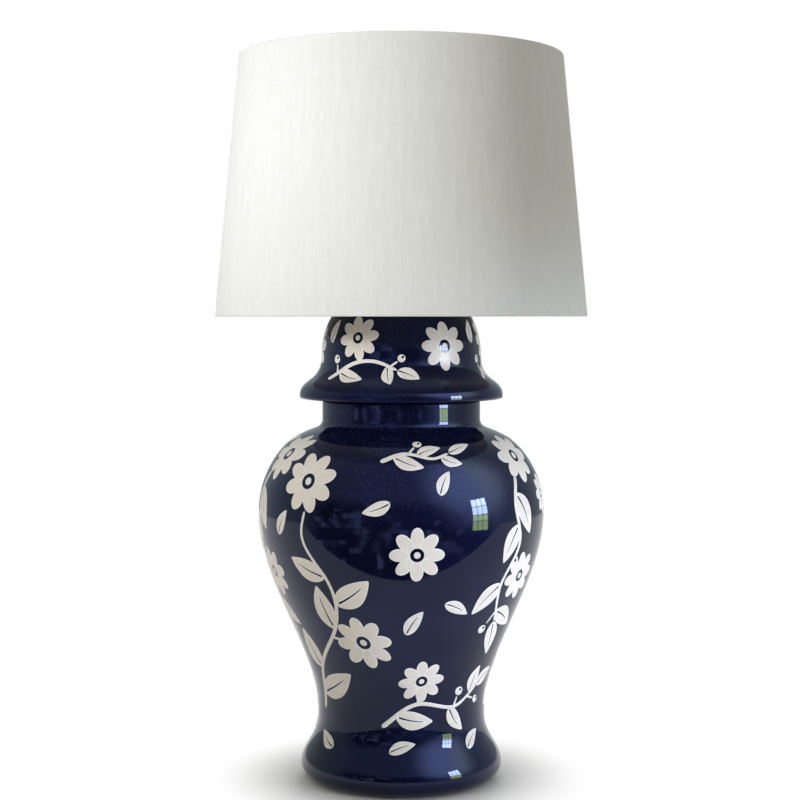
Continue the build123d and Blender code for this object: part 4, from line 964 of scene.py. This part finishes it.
def whiteWorld():
    world = bpy.data.worlds.new("softStudio")
    bpy.context.scene.world = world
    world.use_nodes = True
    tree = world.node_tree
    tree.nodes.clear()
    soft = addNode(tree, "ShaderNodeBackground", {"Color": linear(studio["fillTint"]), "Strength": studio["fill"]})
    white = addNode(tree, "ShaderNodeBackground", {"Color": (1, 1, 1, 1), "Strength": 1.0})
    both = addNode(tree, "ShaderNodeMixShader", {0: seenDirectly(tree), 1: soft[0], 2: white[0]})
    addNode(tree, "ShaderNodeOutputWorld", {"Surface": both[0]})


def oneFace(name, corners):
    return meshObject(name, corners, faces=[(0, 1, 2, 3)])


def paleFloor():
    # matt under the lamp, so that it keeps the shadow, and pure white away from it
    half = studio["floorSize"] / 2
    floor = oneFace("floor", [(-half, -half, 0), (half, -half, 0), (half, half, 0), (-half, half, 0)])
    material, tree = newMaterial("paleFloor", {"Base Color": linear(studio["floorColour"]), "Roughness": 0.9,
                                               "Specular IOR Level": 0.1})
    away = vectorMaths(tree, "LENGTH", objectPlace(tree))["Value"]
    far = remapped(tree, away, (studio["nearWhite"], studio["farWhite"]), kind="SMOOTHSTEP")
    share = product(tree, far, seenDirectly(tree))
    white = addNode(tree, "ShaderNodeEmission", {"Color": (1, 1, 1, 1), "Strength": 1.0})
    matt = tree.nodes["Principled BSDF"].outputs[0]
    both = addNode(tree, "ShaderNodeMixShader", {0: share, 1: matt, 2: white[0]})
    tree.links.new(both[0], tree.nodes["Material Output"].inputs["Surface"])
    floor.data.materials.append(material)


def areaLamp(name, settings):
    lamp = bpy.data.lights.new(name, "AREA")
    lamp.shape, (lamp.size, lamp.size_y) = "RECTANGLE", settings["size"]
    lamp.energy, lamp.color = settings["power"], linear(settings["colour"])[:3]
    lamp.spread = radians(settings["spread"])
    obj = newObject(name, lamp)
    obj.location = settings["place"]
    obj.rotation_euler = (Vector(settings["aim"]) - Vector(settings["place"])).to_track_quat("-Z", "Y").to_euler()
    obj.visible_glossy = False


def onlyReflected(obj, material):
    obj.data.materials.append(material)
    for ray in ("camera", "diffuse", "shadow", "transmission", "volume_scatter"):
        setattr(obj, "visible_" + ray, False)


def makeGlow(material, colour, strength):
    tree = material.node_tree
    glow = addNode(tree, "ShaderNodeEmission", {"Color": colour, "Strength": strength})
    tree.links.new(glow[0], tree.nodes["Material Output"].inputs["Surface"])
    tree.nodes.remove(tree.nodes["Principled BSDF"])
    return material


def roomLight():
    # pale walls and ceiling, a dim front with furniture, and a soft light beside the window
    material, tree = newMaterial("roomShell", {})

    def ease(value, *span):
        return remapped(tree, value, span, kind="SMOOTHSTEP")

    def anglesOf(key):
        return [radians(angle) for angle in room[key]]

    away = vectorMaths(tree, "SUBTRACT", objectPlace(tree), (0, 0, room["eyeHeight"]))["Vector"]
    way = vectorMaths(tree, "NORMALIZE", away)["Vector"]
    x, y, z = list(xyzOf(tree, way))
    rise = maths(tree, "ARCSINE", z)
    compass = maths(tree, "ARCTAN2", x, product(tree, y, -1.0))
    inFront = ease(maths(tree, "ABSOLUTE", compass), *anglesOf("front"))
    dim = product(tree, inFront, ease(rise, *anglesOf("ceiling")))
    flat = vectorOf(tree, compass, rise)
    wide, tall = room["patch"]
    bricks = addNode(tree, "ShaderNodeTexBrick", {
        "Vector": flat, "Color1": (0, 0, 0, 1), "Color2": (1, 1, 1, 1), "Mortar": (0, 0, 0, 1), "Scale": 1.0,
        "Mortar Size": room["gap"], "Mortar Smooth": room["gapBlur"], "Brick Width": wide, "Row Height": tall})
    patches = maths(tree, "POWER", bricks["Color"], room["contrast"])
    lumps = ease(noise(tree, flat, room["lumpSize"], 1.0), *room["lumps"])
    things = maths(tree, "MULTIPLY_ADD", product(tree, patches, lumps), room["furniture"], room["dark"])
    level = addNode(tree, "ShaderNodeMix", {"Factor": dim, "A": room["wall"], "B": things})["Result"]
    azimuth, height = anglesOf("glowPlace")
    aim = (cos(height) * sin(azimuth), -cos(height) * cos(azimuth), sin(height))
    near = vectorMaths(tree, "DOT_PRODUCT", way, aim)["Value"]
    edge = cos(radians(2.2 * room["glowSpread"]))
    shine = maths(tree, "POWER", ease(near, edge, 1.0), room["glowFall"])
    level = maths(tree, "MULTIPLY_ADD", shine, room["glow"], level)
    return makeGlow(material, blend(tree, inFront, room["sideTint"], room["frontTint"]), level)


def roomShell():
    # a dome, and the floor before the table with the same light; both show only in the gloss
    turns, rises, radius = room["turns"], room["rises"], room["radius"]
    points = [(0, 0, radius)]
    for r in range(rises):
        rise = radians(90 * r / rises)
        across, height = radius * cos(rise), radius * sin(rise)
        points += [(across * sin(tau * t / turns), -across * cos(tau * t / turns), height)
                   for t in range(turns)]
    last = len(points) - turns
    faces = ringFaces(rises, turns, 1) + [(last + t, last + (t + 1) % turns, 0) for t in range(turns)]
    light = roomLight()
    onlyReflected(meshObject("roomShell", points, faces=faces), light)
    edge, level = -room["tableEdge"], room["floorHeight"]
    onlyReflected(oneFace("roomFloor", [(-radius, -radius, level), (radius, -radius, level), (radius, edge, level),
                                        (-radius, edge, level)]), light)


def reflectionCard(name, azimuth, distance, width, low, high, level, colour):
    # upright, facing the object at an angle from the front; one card each, so that dark bars stay between panes
    turn = radians(azimuth)
    centre = Vector((sin(turn), -cos(turn), 0)) * distance
    half = Vector((cos(turn), sin(turn), 0)) * width / 2
    corners = ((-1, low), (1, low), (1, high), (-1, high))
    card = oneFace(name, [centre + side * half + Vector((0, 0, z)) for side, z in corners])
    onlyReflected(card, makeGlow(newMaterial(name, {})[0], linear(colour), level))


whiteWorld()
paleFloor()
for name in ("key", "side", "back"):
    areaLamp(name + "Lamp", studio[name])
roomShell()
# the window on the right, with sky in its upper panes and garden in the lower ones: from, to, brightness and colour
panes = {"azimuths": (57.6, 62.2, 66.8), "distance": 1.6, "width": 0.114,
         "rows": (("garden", -0.02, 0.20, 17.0, "#bcd07e"), ("hedge", 0.215, 0.34, 21.0, "#cfe09c"),
                  ("sky", 0.355, 0.55, 38.0, "#dcebff"), ("skyTop", 0.565, 0.76, 44.0, "#e6f1ff"))}
for column, azimuth in enumerate(panes["azimuths"]):
    for kind, *row in panes["rows"]:
        reflectionCard(f"{kind}{column}", azimuth, panes["distance"], panes["width"], *row)
# a dark upright behind each flank, which the glaze shows as a dark line near its edge
posts = {"distance": 2.4, "width": 0.07, "row": (0.0, 2.2, 0.02, "#ffffff")}
for name, azimuth in (("postLeft", -150), ("postRight", 150)):
    reflectionCard(name, azimuth, posts["distance"], posts["width"], *posts["row"])

eye = {"place": (-0.0013, -1.751, 0.4775), "pitch": 2.83, "lens": 76.5, "sensor": 36.0}
camera = bpy.data.cameras.new("photoCamera")
camera.lens, camera.sensor_width = eye["lens"], eye["sensor"]
cameraObject = newObject("photoCamera", camera)
cameraObject.location = eye["place"]
cameraObject.rotation_euler = (radians(90 - eye["pitch"]), 0, 0)
bpy.context.scene.camera = cameraObject
bpy.context.scene.view_settings.view_transform = "Standard"
print("studio set")
